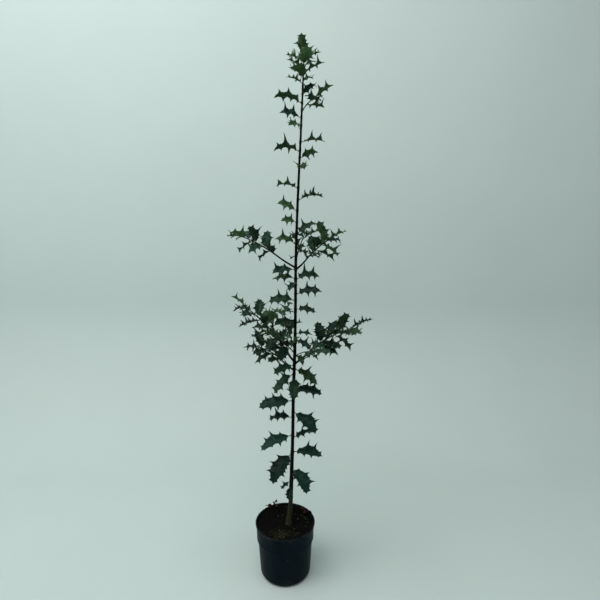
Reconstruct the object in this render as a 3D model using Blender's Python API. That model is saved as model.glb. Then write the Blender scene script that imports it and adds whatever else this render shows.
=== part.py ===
"""A young holly tree: one straight leader with spiny leaves set round it, in a round nursery pot.

Run it with blender --background --python part.py. Metres, +Z up, +Y away from the viewer.
The origin is the middle of the pot's flat underside. Heights in the tables are in centimetres
above the pot's rim, and headings are degrees from +X, seen from above.
"""

import math
import random
from typing import NamedTuple

import bmesh
import bpy
from mathutils import Matrix, Vector
from mathutils.bvhtree import BVHTree

CM = 0.01
GAP = 0.0003
MERGE = 1e-6
UP = Vector((0, 0, 1))
BACK = Vector((0, 1, 0))
UPRIGHT = 0.93
SMOOTH_BELOW = math.radians(35)

# Pot
POT_HEIGHT = 0.130
POT_SIDES = 32
RIM_RADIUS = 0.070
RIM_ROLL = 0.0032
COLLAR_HEIGHT = 0.039
COLLAR_FOOT_RADIUS = 0.0668
BODY_TOP_RADIUS = 0.0640
BODY_FOOT_RADIUS = 0.0590
BASE_RADIUS = 0.0530
BASE_ROUND = 0.007
ROUND_CORNER = 0.35     # where the base's round is turned, as a share of it
COLLAR_SLOPE = 0.003
LIP_BEVEL = 0.6         # the rim roll's flats, as shares of its radius and its height
LIP_EDGE = 0.4
LIP_DROP = 1.2
WALL = 0.0012
FLOOR = 0.0018
FLOOR_EDGE = 0.0006
STEP = 0.001            # small set-off between the inner wall's corners and the outer ones
DRAIN_HOLES = 8
DRAIN_RADIUS = 0.0048
DRAIN_CIRCLE = 0.0440
DRAIN_DEPTH = 0.0080
DRAIN_SIDES = 10
DRAIN_TURN = 0.25

# Compost
COMPOST_TOP = 0.123
COMPOST_FLAT = 0.024
COMPOST_RINGS = (0.42, 0.60, 0.80, 1.0)
COMPOST_EDGE = 0.008    # no corner of the wall is used nearer to the top than this
LUMP_HEIGHT = 0.0022
LUMP_RUN = 0.02         # over which the lumps set in
LUMP_WAVES = ((3, 1.1, 0.9), (5, 0.4, 0.7), (2, 2.3, 0.6))

# Trunk: height above the rim, x and y of its middle, in centimetres
TRUNK_LINE = (
    (-0.7, 0.78, 0.0), (5, 1.30, 0.1), (12, 1.55, 0.15), (22, 1.85, 0.0), (32, 2.02, -0.1),
    (42, 2.36, 0.1), (52, 2.52, 0.25), (62, 2.62, 0.1), (72, 2.95, -0.1), (82, 3.40, 0.0),
    (91, 3.82, 0.15), (97, 4.08, 0.1), (102, 4.20, 0.0), (106, 4.38, -0.1),
)
TRUNK_TOP = 96.4
TRUNK_RADII = (
    (-0.7, 0.80), (0.3, 0.64), (2, 0.57), (6, 0.49), (20, 0.385), (40, 0.34), (60, 0.30),
    (80, 0.25), (97, 0.19), (106, 0.10),
)
TRUNK_SIDES = 10
TRUNK_STEP = 4.0
FLARE_STEPS = (0.9, 2.4)

# Boughs
BOUGH_SIDES = 8
BOUGH_FLARE = 1.25
BOUGH_SAG = 0.004
SHOOT_RISE = 0.02
STEM_KNEE = 0.5

# Leaf blade, as shares of its own length
PETIOLE = 0.09
HALF_WIDTH = 0.33
BROADEST = 0.85
FULLNESS = 0.75
SINUS_DEPTH = 0.38
SPINE_SWEEP = 0.035
WAVE = 0.125
LARGE_WAVE = 0.055
FOLD = 0.26
LARGE_FOLD = 0.20
THICKNESS = 0.020
LEAST_THICKNESS = 0.0007
PETIOLE_HALF = 0.0008
LARGE_LEAF = 0.056

# Leaves borne on the trunk: height, heading, length in centimetres, rise, arch and roll in degrees
TRUNK_LEAVES = (
    (9.0, 262, 3.3, -30, 25, 0), (10.2, 205, 2.6, -25, 20, -10), (13.4, 310, 6.9, 5, 90, 6),
    (17.2, 228, 8.0, -10, 60, -6), (17.7, 352, 6.7, 9, 32, 12), (21.8, 203, 7.8, 0, 36, -12),
    (21.2, 18, 4.3, 20, 12, 14), (26.1, 174, 5.4, 6, 32, -20), (27.4, 320, 7.2, -4, 50, 8),
    (30.1, 190, 7.6, 4, 26, -24), (32.8, 12, 6.6, -4, 24, 24), (35.4, 272, 5.7, -12, 50, 0),
    (36.3, 196, 6.0, -32, 25, -22), (37.5, 346, 6.0, -20, 26, 18), (38.4, 214, 5.2, 6, 36, -16),
    (44.0, 330, 4.1, -4, 40, 18), (45.5, 14, 3.8, 8, 35, 12), (48.3, 200, 4.6, 10, 34, -36),
    (50.4, 214, 3.4, 18, 26, -10), (51.0, 352, 4.3, 6, 28, 28), (53.0, 186, 5.7, 12, 30, -36),
    (54.4, 347, 5.6, 24, 36, 36), (57.0, 250, 3.9, -4, 40, 0), (57.6, 8, 5.2, 34, 60, 28),
    (57.8, 174, 4.9, 12, 34, -32), (59.6, 196, 5.0, 12, 40, -30), (65.3, 178, 4.5, 34, 48, -38),
    (67.4, 15, 4.6, 38, 20, 34), (69.6, 216, 3.9, 26, 44, -44), (72.0, 188, 4.3, 40, 40, -44),
    (74.2, 4, 5.5, 36, 62, 0), (76.6, 184, 4.7, 34, 60, 12), (81.0, 286, 3.9, 12, 60, 18),
    (82.6, 338, 4.0, 32, 40, -30), (83.9, 176, 5.6, 36, 72, 16), (85.7, 6, 5.0, 22, 42, -6),
    (88.8, 232, 4.0, 14, 44, -34), (90.4, 190, 4.4, 30, 40, -48), (93.2, 174, 6.0, 42, 62, 18),
    (94.9, 40, 3.9, 50, 20, 24),
)


class Leaf(NamedTuple):
    """One leaf, by the foot of its stalk and how it is held. Lengths in metres, angles in degrees."""

    base: Vector
    heading: float
    rise: float
    arch: float
    roll: float
    length: float


class Spray(NamedTuple):
    """A mass of foliage on one stem. Points are (x, y, height above the rim) in centimetres."""

    name: str
    root: float          # height on the trunk
    elbow: tuple         # where the bare bough ends and the foliage starts, or None on the trunk
    tip: tuple
    radius: float        # of the stem at its foot, in centimetres
    leaves: int          # on the stem itself
    leaf_length: float   # centimetres
    twigs: int           # side twigs, with three leaves each
    turn: float          # of the first leaf round the stem, in degrees
    seed: int


SPRAYS = (
    Spray("upper_left", 60.2, (-1.6, 0.5, 62.7), (-9.0, 1.5, 66.6), 0.17, 10, 4.4, 0, 149, 9),
    Spray("upper_right", 59.9, (4.6, -0.5, 61.6), (9.6, -2.0, 66.2), 0.17, 11, 4.5, 0, 53, 15),
    Spray("upper_back", 61.8, None, (4.6, 9.0, 66.9), 0.15, 7, 3.8, 0, 197, 15),
    Spray("lower_left", 39.6, (0.6, -0.4, 41.6), (-7.9, -2.0, 51.8), 0.20, 13, 5.0, 1, 269, 10),
    Spray("lowest_left", 37.4, (-0.6, 1.0, 39.2), (-5.8, 3.2, 41.6), 0.17, 9, 4.6, 0, 197, 7),
    Spray("lower_right", 38.9, (5.2, 0.8, 40.9), (14.8, 1.6, 46.3), 0.20, 12, 5.5, 1, 53, 14),
    Spray("lower_back", 41.9, None, (-1.0, 11.4, 47.6), 0.17, 9, 4.6, 0, 173, 23),
    Spray("lower_front", 41.3, None, (-1.4, -6.4, 46.2), 0.14, 7, 4.3, 0, 341, 5),
    Spray("right_twig", 40.6, None, (6.2, -2.0, 42.0), 0.12, 5, 4.3, 0, 317, 17),
    Spray("right_spur", 91.8, None, (6.4, -0.8, 93.9), 0.11, 4, 4.3, 0, 77, 7),
    Spray("leader", TRUNK_TOP, None, (4.3, -0.1, 101.8), 0.16, 11, 4.5, 0, 5, 12),
)

# Small turns (heading, rise) that a leaf tries in order, to stand clear of the rest
NUDGES = (
    (0, 0), (9, 0), (-9, 0), (0, 9), (0, -9), (18, 0), (-18, 0), (0, 18), (0, -18),
    (18, 18), (-18, 18), (28, 0), (-28, 0), (28, -14), (-28, -14), (0, 30), (40, 10), (-40, 10),
)
CLEARANCE = GAP * 0.8

# How leaves are set on a stem: turns and angles in degrees, spreads as (low, high) factors
GOLDEN_TURN = 137.5
TURN_SPREAD = 14
ROLL_SPREAD = 26
LEAF_LEAN = 58
END_LEAF_LEAN = 16
LEAF_ARCH = 26
ARCH_SPREAD = (0.6, 1.6)
SIZE_SPREAD = (0.86, 1.1)
LOWEST_LEAF = -0.42
LEAF_LIFT = 0.06
SMALL_LEAVES = 2
SMALL_LEAF = 0.82
FIRST_LEAF = 0.08
LAST_LEAF = 0.985

# Stems and side twigs
TWIG_SIDES = 5
TWIG_TIP_RADIUS = 0.0009
TWIG_FOOT_RADIUS = 0.0012
STEM_STEPS = 7
TWIG_SHARE = 0.38
TWIG_LEAVES = 3
TWIG_LEAF = 0.9
TWIG_FORK = 0.8
TWIG_RISE = 0.25
TWIG_CURL = 0.004
FIRST_TWIG = 0.3
TWIG_SPACING = 0.2
TWIG_SEED = 31

# Colour, roughness and metallic value of each finish
FINISHES = {
    "pot_plastic": ((0.018, 0.026, 0.030), 0.45, 0.0),
    "compost": ((0.030, 0.022, 0.016), 0.95, 0.0),
    "bark": ((0.075, 0.058, 0.035), 0.70, 0.0),
    "holly_leaf": ((0.022, 0.070, 0.028), 0.30, 0.0),
}


def clear_scene():
    """Removes the startup objects."""
    for obj in list(bpy.data.objects):
        bpy.data.objects.remove(obj)


def finish(name):
    """The material of that name, made once."""
    material = bpy.data.materials.get(name)
    if material is None:
        colour, roughness, metallic = FINISHES[name]
        material = bpy.data.materials.new(name)
        material.use_nodes = True
        shader = material.node_tree.nodes["Principled BSDF"]
        shader.inputs["Base Color"].default_value = (*colour, 1.0)
        shader.inputs["Roughness"].default_value = roughness
        shader.inputs["Metallic"].default_value = metallic
    return material


def add_object(name, mesh, finish_name, collection=None):
    """An object for a finished mesh, in the scene's collection unless another is given."""
    obj = bpy.data.objects.new(name, mesh)
    mesh.materials.append(finish(finish_name))
    (collection or bpy.context.scene.collection).objects.link(obj)
    return obj


def mesh_from(name, points, faces):
    """A mesh with its faces turned outwards."""
    mesh = bpy.data.meshes.new(name)
    mesh.from_pydata([tuple(p) for p in points], [], faces)
    work = bmesh.new()
    work.from_mesh(mesh)
    bmesh.ops.recalc_face_normals(work, faces=work.faces)
    work.to_mesh(mesh)
    work.free()
    return mesh


def apply_boolean(obj, operation, **operand):
    """Joins or cuts obj with an object or a collection, exactly, and keeps only the result."""
    modifier = obj.modifiers.new("boolean", "BOOLEAN")
    modifier.operation = operation
    modifier.solver = "EXACT"
    for key, value in operand.items():
        setattr(modifier, key, value)
    graph = bpy.context.evaluated_depsgraph_get()
    result = bpy.data.meshes.new_from_object(obj.evaluated_get(graph))
    obj.modifiers.clear()
    obj.data = result


# Curves and tubes


def between(table, height):
    """The value at a height, straight between the rows (height, value) on either side of it."""
    for (low, a), (high, b) in zip(table, table[1:]):
        if height <= high:
            return a + (b - a) * (height - low) / (high - low)
    return table[-1][1]


def spline(points, share):
    """A point on a smooth curve through points, at a share of the way along them."""
    span = share * (len(points) - 1)
    i = min(int(span), len(points) - 2)
    t = span - i
    before = points[max(i - 1, 0)]
    after = points[min(i + 2, len(points) - 1)]
    a, b = points[i], points[i + 1]
    return 0.5 * (
        2 * a + (b - before) * t + (2 * before - 5 * a + 4 * b - after) * t * t
        + (3 * a - before - 3 * b + after) * t ** 3
    )


def trunk_point(height):
    """The middle of the trunk at a height above the rim."""
    heights = [row[0] for row in TRUNK_LINE]
    i = max(k for k, h in enumerate(heights[:-1]) if h <= height)
    share = (i + (height - heights[i]) / (heights[i + 1] - heights[i])) / (len(heights) - 1)
    x, y, _ = spline([Vector((row[1], row[2], row[0])) for row in TRUNK_LINE], share)
    return Vector((x * CM, y * CM, POT_HEIGHT + height * CM))


def trunk_radius(height):
    return between(TRUNK_RADII, height) * CM


def place(point):
    """A table's (x, y, height above the rim) in metres."""
    return Vector((point[0] * CM, point[1] * CM, POT_HEIGHT + point[2] * CM))


def cross_frame(direction):
    """Two directions square to this one, the first of them level on a limb that isn't upright."""
    reference = UP if abs(direction.z) < UPRIGHT else BACK
    side = direction.cross(reference).normalized()
    return side, side.cross(direction).normalized()


def tube(points, radii, sides, cut=None):
    """Points and faces of a closed tapering tube. A cut (point, normal) trims its foot aslant."""
    corners, faces = [], []
    side = cross_frame(points[1] - points[0])[0]
    for i, (middle, radius) in enumerate(zip(points, radii)):
        ahead = (points[min(i + 1, len(points) - 1)] - points[max(i - 1, 0)]).normalized()
        side = (side - ahead * side.dot(ahead)).normalized()
        other = side.cross(ahead)
        for k in range(sides):
            angle = math.tau * k / sides
            corner = middle + radius * (side * math.cos(angle) + other * math.sin(angle))
            if cut and i == 0:
                corner += ahead * ((cut[0] - corner).dot(cut[1]) / ahead.dot(cut[1]))
            corners.append(corner)
    for i in range(len(points) - 1):
        for k in range(sides):
            a, b = i * sides + k, i * sides + (k + 1) % sides
            faces.append((a, b, b + sides, a + sides))
    last = len(corners) - sides
    faces.append(tuple(range(sides)))
    faces.append(tuple(range(last, last + sides)))
    return corners, faces


def trunk_face(height, heading):
    """A point just clear of the trunk's skin on that side, and the way it faces."""
    outward = Vector((math.cos(heading), math.sin(heading), 0))
    skin = trunk_point(height) + outward * (trunk_radius(height) + GAP)
    return skin, outward


# Leaves


def midrib(leaf, share):
    """Middle, forward, side and upward directions of the leaf at a share of its length."""
    heading, roll = math.radians(leaf.heading), math.radians(leaf.roll)
    rise, arch = math.radians(leaf.rise), math.radians(leaf.arch)
    level = Vector((math.cos(heading), math.sin(heading), 0))
    left = Vector((-level.y, level.x, 0))
    pitch = rise - arch * share
    run = (math.sin(rise) - math.sin(pitch)) / arch
    lift = (math.cos(pitch) - math.cos(rise)) / arch
    middle = leaf.base + leaf.length * (level * run + UP * lift)
    forward = level * math.cos(pitch) + UP * math.sin(pitch)
    above = UP * math.cos(pitch) - level * math.sin(pitch)
    side = left * math.cos(roll) + above * math.sin(roll)
    return middle, forward, side, above * math.cos(roll) - left * math.sin(roll)


def blade_point(leaf, spines, u, across):
    """A point of the blade and its upward direction.

    u counts the spines on one edge: 0 at the first, spines at the leaf's tip, -0.5 at the
    blade's foot. across runs from -1 to 1. Spines turn up and down by turns, left against right.
    """
    along = (u + 0.5) / (spines + 0.5)
    blade = 1 - PETIOLE
    outline = math.sin(math.pi * min(along, 1.0) ** BROADEST) ** FULLNESS if 0 < along < 1 else 0.0
    sinus = abs(math.sin(math.pi * u))
    half = HALF_WIDTH * blade * outline * (1 - SINUS_DEPTH * sinus)
    forward = SPINE_SWEEP * (1 - sinus) * outline * abs(across)
    share = min(PETIOLE + blade * along + forward, 1.0)
    middle, _, side, above = midrib(leaf, share)
    swing, fold = (WAVE, FOLD) if leaf.length < LARGE_LEAF else (LARGE_WAVE, LARGE_FOLD)
    wave = swing * math.cos(math.pi * u) * across * abs(across) * outline
    lift = (wave + fold * half * abs(across)) * leaf.length
    half = half * leaf.length + PETIOLE_HALF * (1 - min(along, 1.0))
    return middle + side * (half * across) + above * lift, above


def leaf_solid(leaf, foot=None):
    """Points and triangles of a solid leaf. A foot (point, normal) trims the stalk's end.

    Each ring across the leaf is its left edge, midrib top, right edge and midrib underside.
    """
    spines = spine_pairs(leaf.length)
    thick = max(THICKNESS * leaf.length, LEAST_THICKNESS)
    middle, forward, side, above = midrib(leaf, 0.0)
    points = [middle - side * PETIOLE_HALF, middle + above * PETIOLE_HALF,
              middle + side * PETIOLE_HALF, middle - above * PETIOLE_HALF]
    if foot:
        skin, outward = foot
        points = [p + forward * ((skin - p).dot(outward) / forward.dot(outward)) for p in points]
    for step in range(2 * spines + 1):
        u = step / 2 - 0.5
        (left, _), (rib, above), (right, _) = [blade_point(leaf, spines, u, v) for v in (-1, 0, 1)]
        points += [left, rib + above * thick / 2, right, rib - above * thick / 2]
    faces = [(3, 2, 1, 0)]
    tip = len(points)
    for a in range(0, tip - 4, 4):
        b = a + 4
        left = (points[a] - points[b + 1]).length < (points[a + 1] - points[b]).length
        right = (points[a + 2] - points[b + 1]).length < (points[a + 1] - points[b + 2]).length
        # The same diagonal above and below keeps the thin blade from crossing itself
        for k, rising in enumerate((left, not right, right, not left)):
            n = (k + 1) % 4
            if rising:
                faces += [(a + k, a + n, b + n), (a + k, b + n, b + k)]
            else:
                faces += [(a + k, a + n, b + k), (a + n, b + n, b + k)]
    points.append(midrib(leaf, 1.0)[0])
    faces += [(tip - 4 + k, tip - 4 + (k + 1) % 4, tip) for k in range(4)]
    return points, faces


def spine_pairs(length):
    return 4 if length > LARGE_LEAF else 3


class Crown:
    """What stands already, so that no leaf is set through a limb or another leaf."""

    def __init__(self, trees=()):
        self.trees = list(trees)

    def add(self, points, faces):
        self.trees.append(BVHTree.FromPolygons(points, faces))

    def clears(self, points, faces):
        """Whether a shape touches nothing that stands."""
        shape = BVHTree.FromPolygons(points, faces)
        return not any(
            tree.overlap(shape) or any(tree.find_nearest(p, CLEARANCE)[0] for p in points)
            for tree in self.trees
        )


def settle(leaf, others, own, foot=None):
    """The leaf's solid at the first nudge that clears the others, or None.

    own holds the stem that the leaf grows on and the leaves beside it, which only its blade
    has to clear.
    """
    for turn, tilt in NUDGES:
        held = leaf._replace(heading=leaf.heading + turn, rise=leaf.rise + tilt)
        points, faces = leaf_solid(held, foot)
        blade = [tuple(k - 4 for k in face) for face in faces[1:] if min(face) >= 4]
        if others.clears(points, faces) and own.clears(points[4:], blade):
            return points, faces
    return None


def leaf_towards(base, direction, arch, roll, length):
    """A leaf whose stalk sets out in a direction."""
    heading = math.degrees(math.atan2(direction.y, direction.x))
    rise = math.degrees(math.asin(max(-1.0, min(1.0, direction.z))))
    return Leaf(base, heading, rise, arch, roll, length)


# Sprays of foliage


def stem_curve(start, heading, tip):
    """Points of a stem that sets out along heading and bends to its tip."""
    reach = (tip - start).length
    knee = start + heading.normalized() * reach * STEM_KNEE
    return [start.lerp(knee, t).lerp(knee.lerp(tip, t), t) for t in
            (k / STEM_STEPS for k in range(STEM_STEPS + 1))]


def point_on(line, share):
    span = share * (len(line) - 1)
    i = min(int(span), len(line) - 2)
    return line[i].lerp(line[i + 1], span - i), (line[i + 1] - line[i]).normalized()


def leaves_on(line, count, length, start_turn, chance):
    """Leaves set in a spiral along a stem, the last one carrying the stem on."""
    found = []
    for i in range(count):
        share = FIRST_LEAF + (1 - FIRST_LEAF) * i / max(count - 1, 1)
        base, ahead = point_on(line, min(share, LAST_LEAF))
        side, above = cross_frame(ahead)
        turn = math.radians(start_turn + GOLDEN_TURN * i + chance.uniform(-TURN_SPREAD, TURN_SPREAD))
        outward = side * math.cos(turn) + above * math.sin(turn)
        lean = math.radians(LEAF_LEAN if i < count - 1 else END_LEAF_LEAN)
        direction = ahead * math.cos(lean) + outward * math.sin(lean)
        direction.z = max(direction.z, LOWEST_LEAF) + LEAF_LIFT
        size = length * chance.uniform(*SIZE_SPREAD)
        if i < SMALL_LEAVES and count > 2 * SMALL_LEAVES:
            size *= SMALL_LEAF
        arch = LEAF_ARCH * chance.uniform(*ARCH_SPREAD)
        roll = chance.uniform(-ROLL_SPREAD, ROLL_SPREAD)
        found.append(leaf_towards(base, direction.normalized(), arch, roll, size))
    return found


def spray_lines(spray):
    """The bough's points, or None, then the stem's, its side twigs' and the way its foot faces."""
    tip = place(spray.tip)
    bough = None
    if spray.root >= TRUNK_TOP:
        start = trunk_point(spray.root)
        heading = trunk_point(spray.root + 1) - start
    elif spray.elbow is None:
        start = trunk_face(spray.root, heading_from_trunk(spray.root, tip))[0]
        heading = (tip - start) + UP * SHOOT_RISE
    else:
        start = place(spray.elbow)
        skin = trunk_face(spray.root, heading_from_trunk(spray.root, start))[0]
        bough = stem_curve(skin, (start - skin) - UP * BOUGH_SAG, start)
        heading = bough[-1] - bough[-2]
    stem = stem_curve(start, heading, tip)
    chance = random.Random(spray.seed * TWIG_SEED)
    twigs = []
    for k in range(spray.twigs):
        foot, ahead = point_on(stem, FIRST_TWIG + TWIG_SPACING * k)
        side, above = cross_frame(ahead)
        way = ahead + side * chance.choice((-TWIG_FORK, TWIG_FORK)) + above * TWIG_RISE
        end = foot + way.normalized() * (tip - start).length * TWIG_SHARE + UP * TWIG_CURL
        twigs.append(stem_curve(foot, way, end))
    return bough, stem, twigs, heading.normalized()


def spray_leaves(spray):
    """Every leaf of a spray: its stem's first, then each side twig's."""
    chance = random.Random(spray.seed)
    _, stem, twigs, _ = spray_lines(spray)
    length = spray.leaf_length * CM
    found = leaves_on(stem, spray.leaves, length, spray.turn, chance)
    for twig in twigs:
        turn = chance.uniform(0, 360)
        found += leaves_on(twig, TWIG_LEAVES, length * TWIG_LEAF, turn, chance)
    return found


def trunk_leaf(row):
    """A leaf borne on the trunk, and the face that its stalk's foot is cut to."""
    height, heading, length, rise, arch, roll = row
    skin, outward = trunk_face(height, math.radians(heading))
    return Leaf(skin, heading, rise, arch, roll, length * CM), (skin, outward)


def taper(count, foot, tip):
    return [foot + (tip - foot) * k / (count - 1) for k in range(count)]


def heading_from_trunk(height, towards):
    level = towards - trunk_point(height)
    return math.atan2(level.y, level.x)


# Sub-parts


def make_pot():
    """A thin-walled tapering pot with a stacking collar, a rolled rim and drain holes."""
    collar = POT_HEIGHT - COLLAR_HEIGHT
    roll = RIM_ROLL / 2
    corner = BASE_ROUND * ROUND_CORNER
    outer = [
        (BASE_RADIUS, 0), (BODY_FOOT_RADIUS - corner, corner),
        (BODY_FOOT_RADIUS, BASE_ROUND), (BODY_TOP_RADIUS, collar - COLLAR_SLOPE),
        (COLLAR_FOOT_RADIUS, collar),
        (RIM_RADIUS - roll * LIP_BEVEL, POT_HEIGHT - RIM_ROLL * LIP_DROP),
        (RIM_RADIUS, POT_HEIGHT - roll * LIP_DROP), (RIM_RADIUS - roll * LIP_EDGE, POT_HEIGHT),
    ]
    inner = [(RIM_RADIUS - RIM_ROLL, POT_HEIGHT)] + inner_profile(0.0)
    profile = [(0, 0), *outer, *inner, (0, FLOOR)]
    pot = add_object("pot", lathe("pot", profile), "pot_plastic")
    cutter = add_object("drain_cutter", drain_cutter(), "pot_plastic")
    apply_boolean(pot, "DIFFERENCE", object=cutter)
    bpy.data.objects.remove(cutter)
    return pot


def inner_profile(gap):
    """The pot's inner wall from the rim down to the edge of its floor, drawn in by a gap."""
    collar = POT_HEIGHT - COLLAR_HEIGHT
    return [
        (r - WALL - gap, z) for r, z in (
            (RIM_RADIUS - RIM_ROLL / 2, POT_HEIGHT - RIM_ROLL),
            (COLLAR_FOOT_RADIUS, collar + STEP),
            (BODY_TOP_RADIUS, collar - COLLAR_SLOPE + STEP - gap),
            (BODY_FOOT_RADIUS, BASE_ROUND + STEP + gap),
            (BODY_FOOT_RADIUS - BASE_ROUND * ROUND_CORNER, BASE_ROUND / 2 + gap * 2),
            (BASE_RADIUS + FLOOR_EDGE, FLOOR + gap),
        )
    ]


def lathe(name, profile):
    """Spins an outline of (radius, height) round the Z axis into one closed mesh."""
    work = bmesh.new()
    line = [work.verts.new((r, 0, z)) for r, z in profile]
    edges = [work.edges.new(pair) for pair in zip(line, line[1:])]
    bmesh.ops.spin(work, geom=line + edges, cent=(0, 0, 0), axis=(0, 0, 1),
                   angle=math.tau, steps=POT_SIDES)
    bmesh.ops.remove_doubles(work, verts=work.verts, dist=MERGE)
    bmesh.ops.recalc_face_normals(work, faces=work.faces)
    mesh = bpy.data.meshes.new(name)
    work.to_mesh(mesh)
    work.free()
    return mesh


def drain_cutter():
    """Short posts in a ring that open the drain holes in the pot's floor."""
    work = bmesh.new()
    for k in range(DRAIN_HOLES):
        angle = math.tau * (k + DRAIN_TURN) / DRAIN_HOLES
        spot = Matrix.Translation((DRAIN_CIRCLE * math.cos(angle), DRAIN_CIRCLE * math.sin(angle), 0))
        bmesh.ops.create_cone(work, cap_ends=True, segments=DRAIN_SIDES, radius1=DRAIN_RADIUS,
                              radius2=DRAIN_RADIUS, depth=DRAIN_DEPTH, matrix=spot)
    mesh = bpy.data.meshes.new("drain_cutter")
    work.to_mesh(mesh)
    work.free()
    return mesh


def lump(x, y):
    """Rise of the compost at a place: level round the trunk, uneven towards the wall."""
    radius, angle = math.hypot(x, y), math.atan2(y, x)
    if radius < COMPOST_FLAT:
        return 0.0
    swing = sum(size * math.cos(waves * angle + shift) for waves, shift, size in LUMP_WAVES)
    return LUMP_HEIGHT * swing * min((radius - COMPOST_FLAT) / LUMP_RUN, 1.0)


def make_compost():
    """The compost that fills the pot, with an uneven top."""
    wall = [p for p in inner_profile(GAP) if p[1] < COMPOST_TOP - COMPOST_EDGE]
    edge = between([(z, r) for r, z in reversed(inner_profile(GAP))], COMPOST_TOP)
    top = [(edge * share, COMPOST_TOP) for share in COMPOST_RINGS]
    profile = [(0, COMPOST_TOP), *top, *wall, (0, FLOOR + GAP)]
    mesh = lathe("compost", profile)
    for vertex in mesh.vertices:
        x, y, z = vertex.co
        if abs(z - COMPOST_TOP) < MERGE and math.hypot(x, y) < edge - GAP:
            vertex.co.z += lump(x, y)
    return add_object("compost", mesh, "compost")


def make_trunk(crown):
    """The leader from its flat foot on the compost to where the top spray carries it on."""
    foot = TRUNK_LINE[0][0]
    near = [foot, *(foot + step for step in FLARE_STEPS)]
    count = round((TRUNK_TOP - near[-1]) / TRUNK_STEP)
    rest = [near[-1] + (TRUNK_TOP - near[-1]) * (k + 1) / count for k in range(count)]
    heights = near + rest
    points = [trunk_point(h) for h in heights]
    points[0] = Vector((points[0].x, points[0].y, COMPOST_TOP + GAP))
    radii = [trunk_radius(h) for h in heights]
    corners, faces = tube(points, radii, TRUNK_SIDES, cut=(points[0], UP))
    crown.add(corners, faces)
    return add_object("trunk", mesh_from("trunk", corners, faces), "bark")


def make_trunk_leaves(crown, stems):
    """Each leaf that stands on the trunk by its own stalk, clear of every stem to come."""
    others, own = Crown(crown.trees), Crown()
    for shapes in stems.values():
        for shape in shapes:
            others.add(*shape)
    for number, row in enumerate(TRUNK_LEAVES, start=1):
        leaf, foot = trunk_leaf(row)
        solid = settle(leaf, others, own, foot)
        if solid:
            name = f"trunk_leaf_{number:02d}"
            add_object(name, mesh_from(name, *solid), "holly_leaf")
            others.add(*solid)
            crown.add(*solid)


def make_bough(spray, crown):
    """The bare lower part of a bough, from the trunk's skin to where its foliage starts."""
    bough = spray_lines(spray)[0]
    cut = trunk_face(spray.root, heading_from_trunk(spray.root, bough[-1]))
    radii = taper(len(bough), spray.radius * CM * BOUGH_FLARE, spray.radius * CM)
    corners, faces = tube(bough, radii, BOUGH_SIDES, cut)
    crown.add(corners, faces)
    name = "bough_" + spray.name
    return add_object(name, mesh_from(name, corners, faces), "bark")


def stem_solids(spray):
    """The stem of a spray, then its side twigs."""
    _, stem, twigs, heading = spray_lines(spray)
    if spray.elbow or spray.root >= TRUNK_TOP:
        cut = (stem[0] + heading * GAP, heading)
    else:
        cut = trunk_face(spray.root, heading_from_trunk(spray.root, stem[-1]))
    solids = [tube(stem, taper(len(stem), spray.radius * CM, TWIG_TIP_RADIUS), TWIG_SIDES, cut)]
    for twig in twigs:
        radii = taper(len(twig), TWIG_FOOT_RADIUS, TWIG_TIP_RADIUS)
        solids.append(tube(twig, radii, TWIG_SIDES))
    return solids


def make_foliage(spray, crown, stems):
    """One mass: a stem with its side twigs and leaves, fused into a single solid."""
    name = "foliage_" + spray.name
    solids = stems[spray.name]
    mass = add_object(name, mesh_from(name, *solids[0]), "holly_leaf")
    others, own = Crown(crown.trees), Crown()
    for other, shapes in stems.items():
        for shape in shapes:
            (own if other == spray.name else others).add(*shape)
    fused = solids[1:]
    for leaf in spray_leaves(spray):
        solid = settle(leaf, others, own)
        if solid:
            own.add(*solid)
            fused.append(solid)
    pieces = bpy.data.collections.new(name + "_pieces")
    bpy.context.scene.collection.children.link(pieces)
    for solid in fused:
        add_object("piece", mesh_from("piece", *solid), "holly_leaf", pieces)
    apply_boolean(mass, "UNION", operand_type="COLLECTION", collection=pieces)
    for piece in list(pieces.objects):
        bpy.data.objects.remove(piece)
    bpy.data.collections.remove(pieces)
    crown.trees += own.trees


def main():
    clear_scene()
    make_pot()
    make_compost()
    crown = Crown()
    make_trunk(crown)
    for spray in SPRAYS:
        if spray.elbow:
            make_bough(spray, crown)
    stems = {spray.name: stem_solids(spray) for spray in SPRAYS}
    make_trunk_leaves(crown, stems)
    for spray in SPRAYS:
        make_foliage(spray, crown, stems)
    for obj in bpy.data.objects:
        obj.data.shade_smooth()
        obj.data.set_sharp_from_angle(angle=SMOOTH_BELOW)


if __name__ == "__main__":
    main()
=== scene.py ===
"""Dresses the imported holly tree: bark, twigs, spiny leaves, pot and compost, in a plain pale studio.

Metres, +Z up, +Y away from the camera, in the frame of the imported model. Tables give heights in
centimetres above the pot's rim and headings in degrees from +X, seen from above.
"""

import functools
import math
import random
from typing import NamedTuple

import bmesh
import bpy
import numpy as np
from bpy.props import FloatProperty, FloatVectorProperty, IntProperty, PointerProperty
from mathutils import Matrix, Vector, noise
from mathutils.bvhtree import BVHTree


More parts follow.
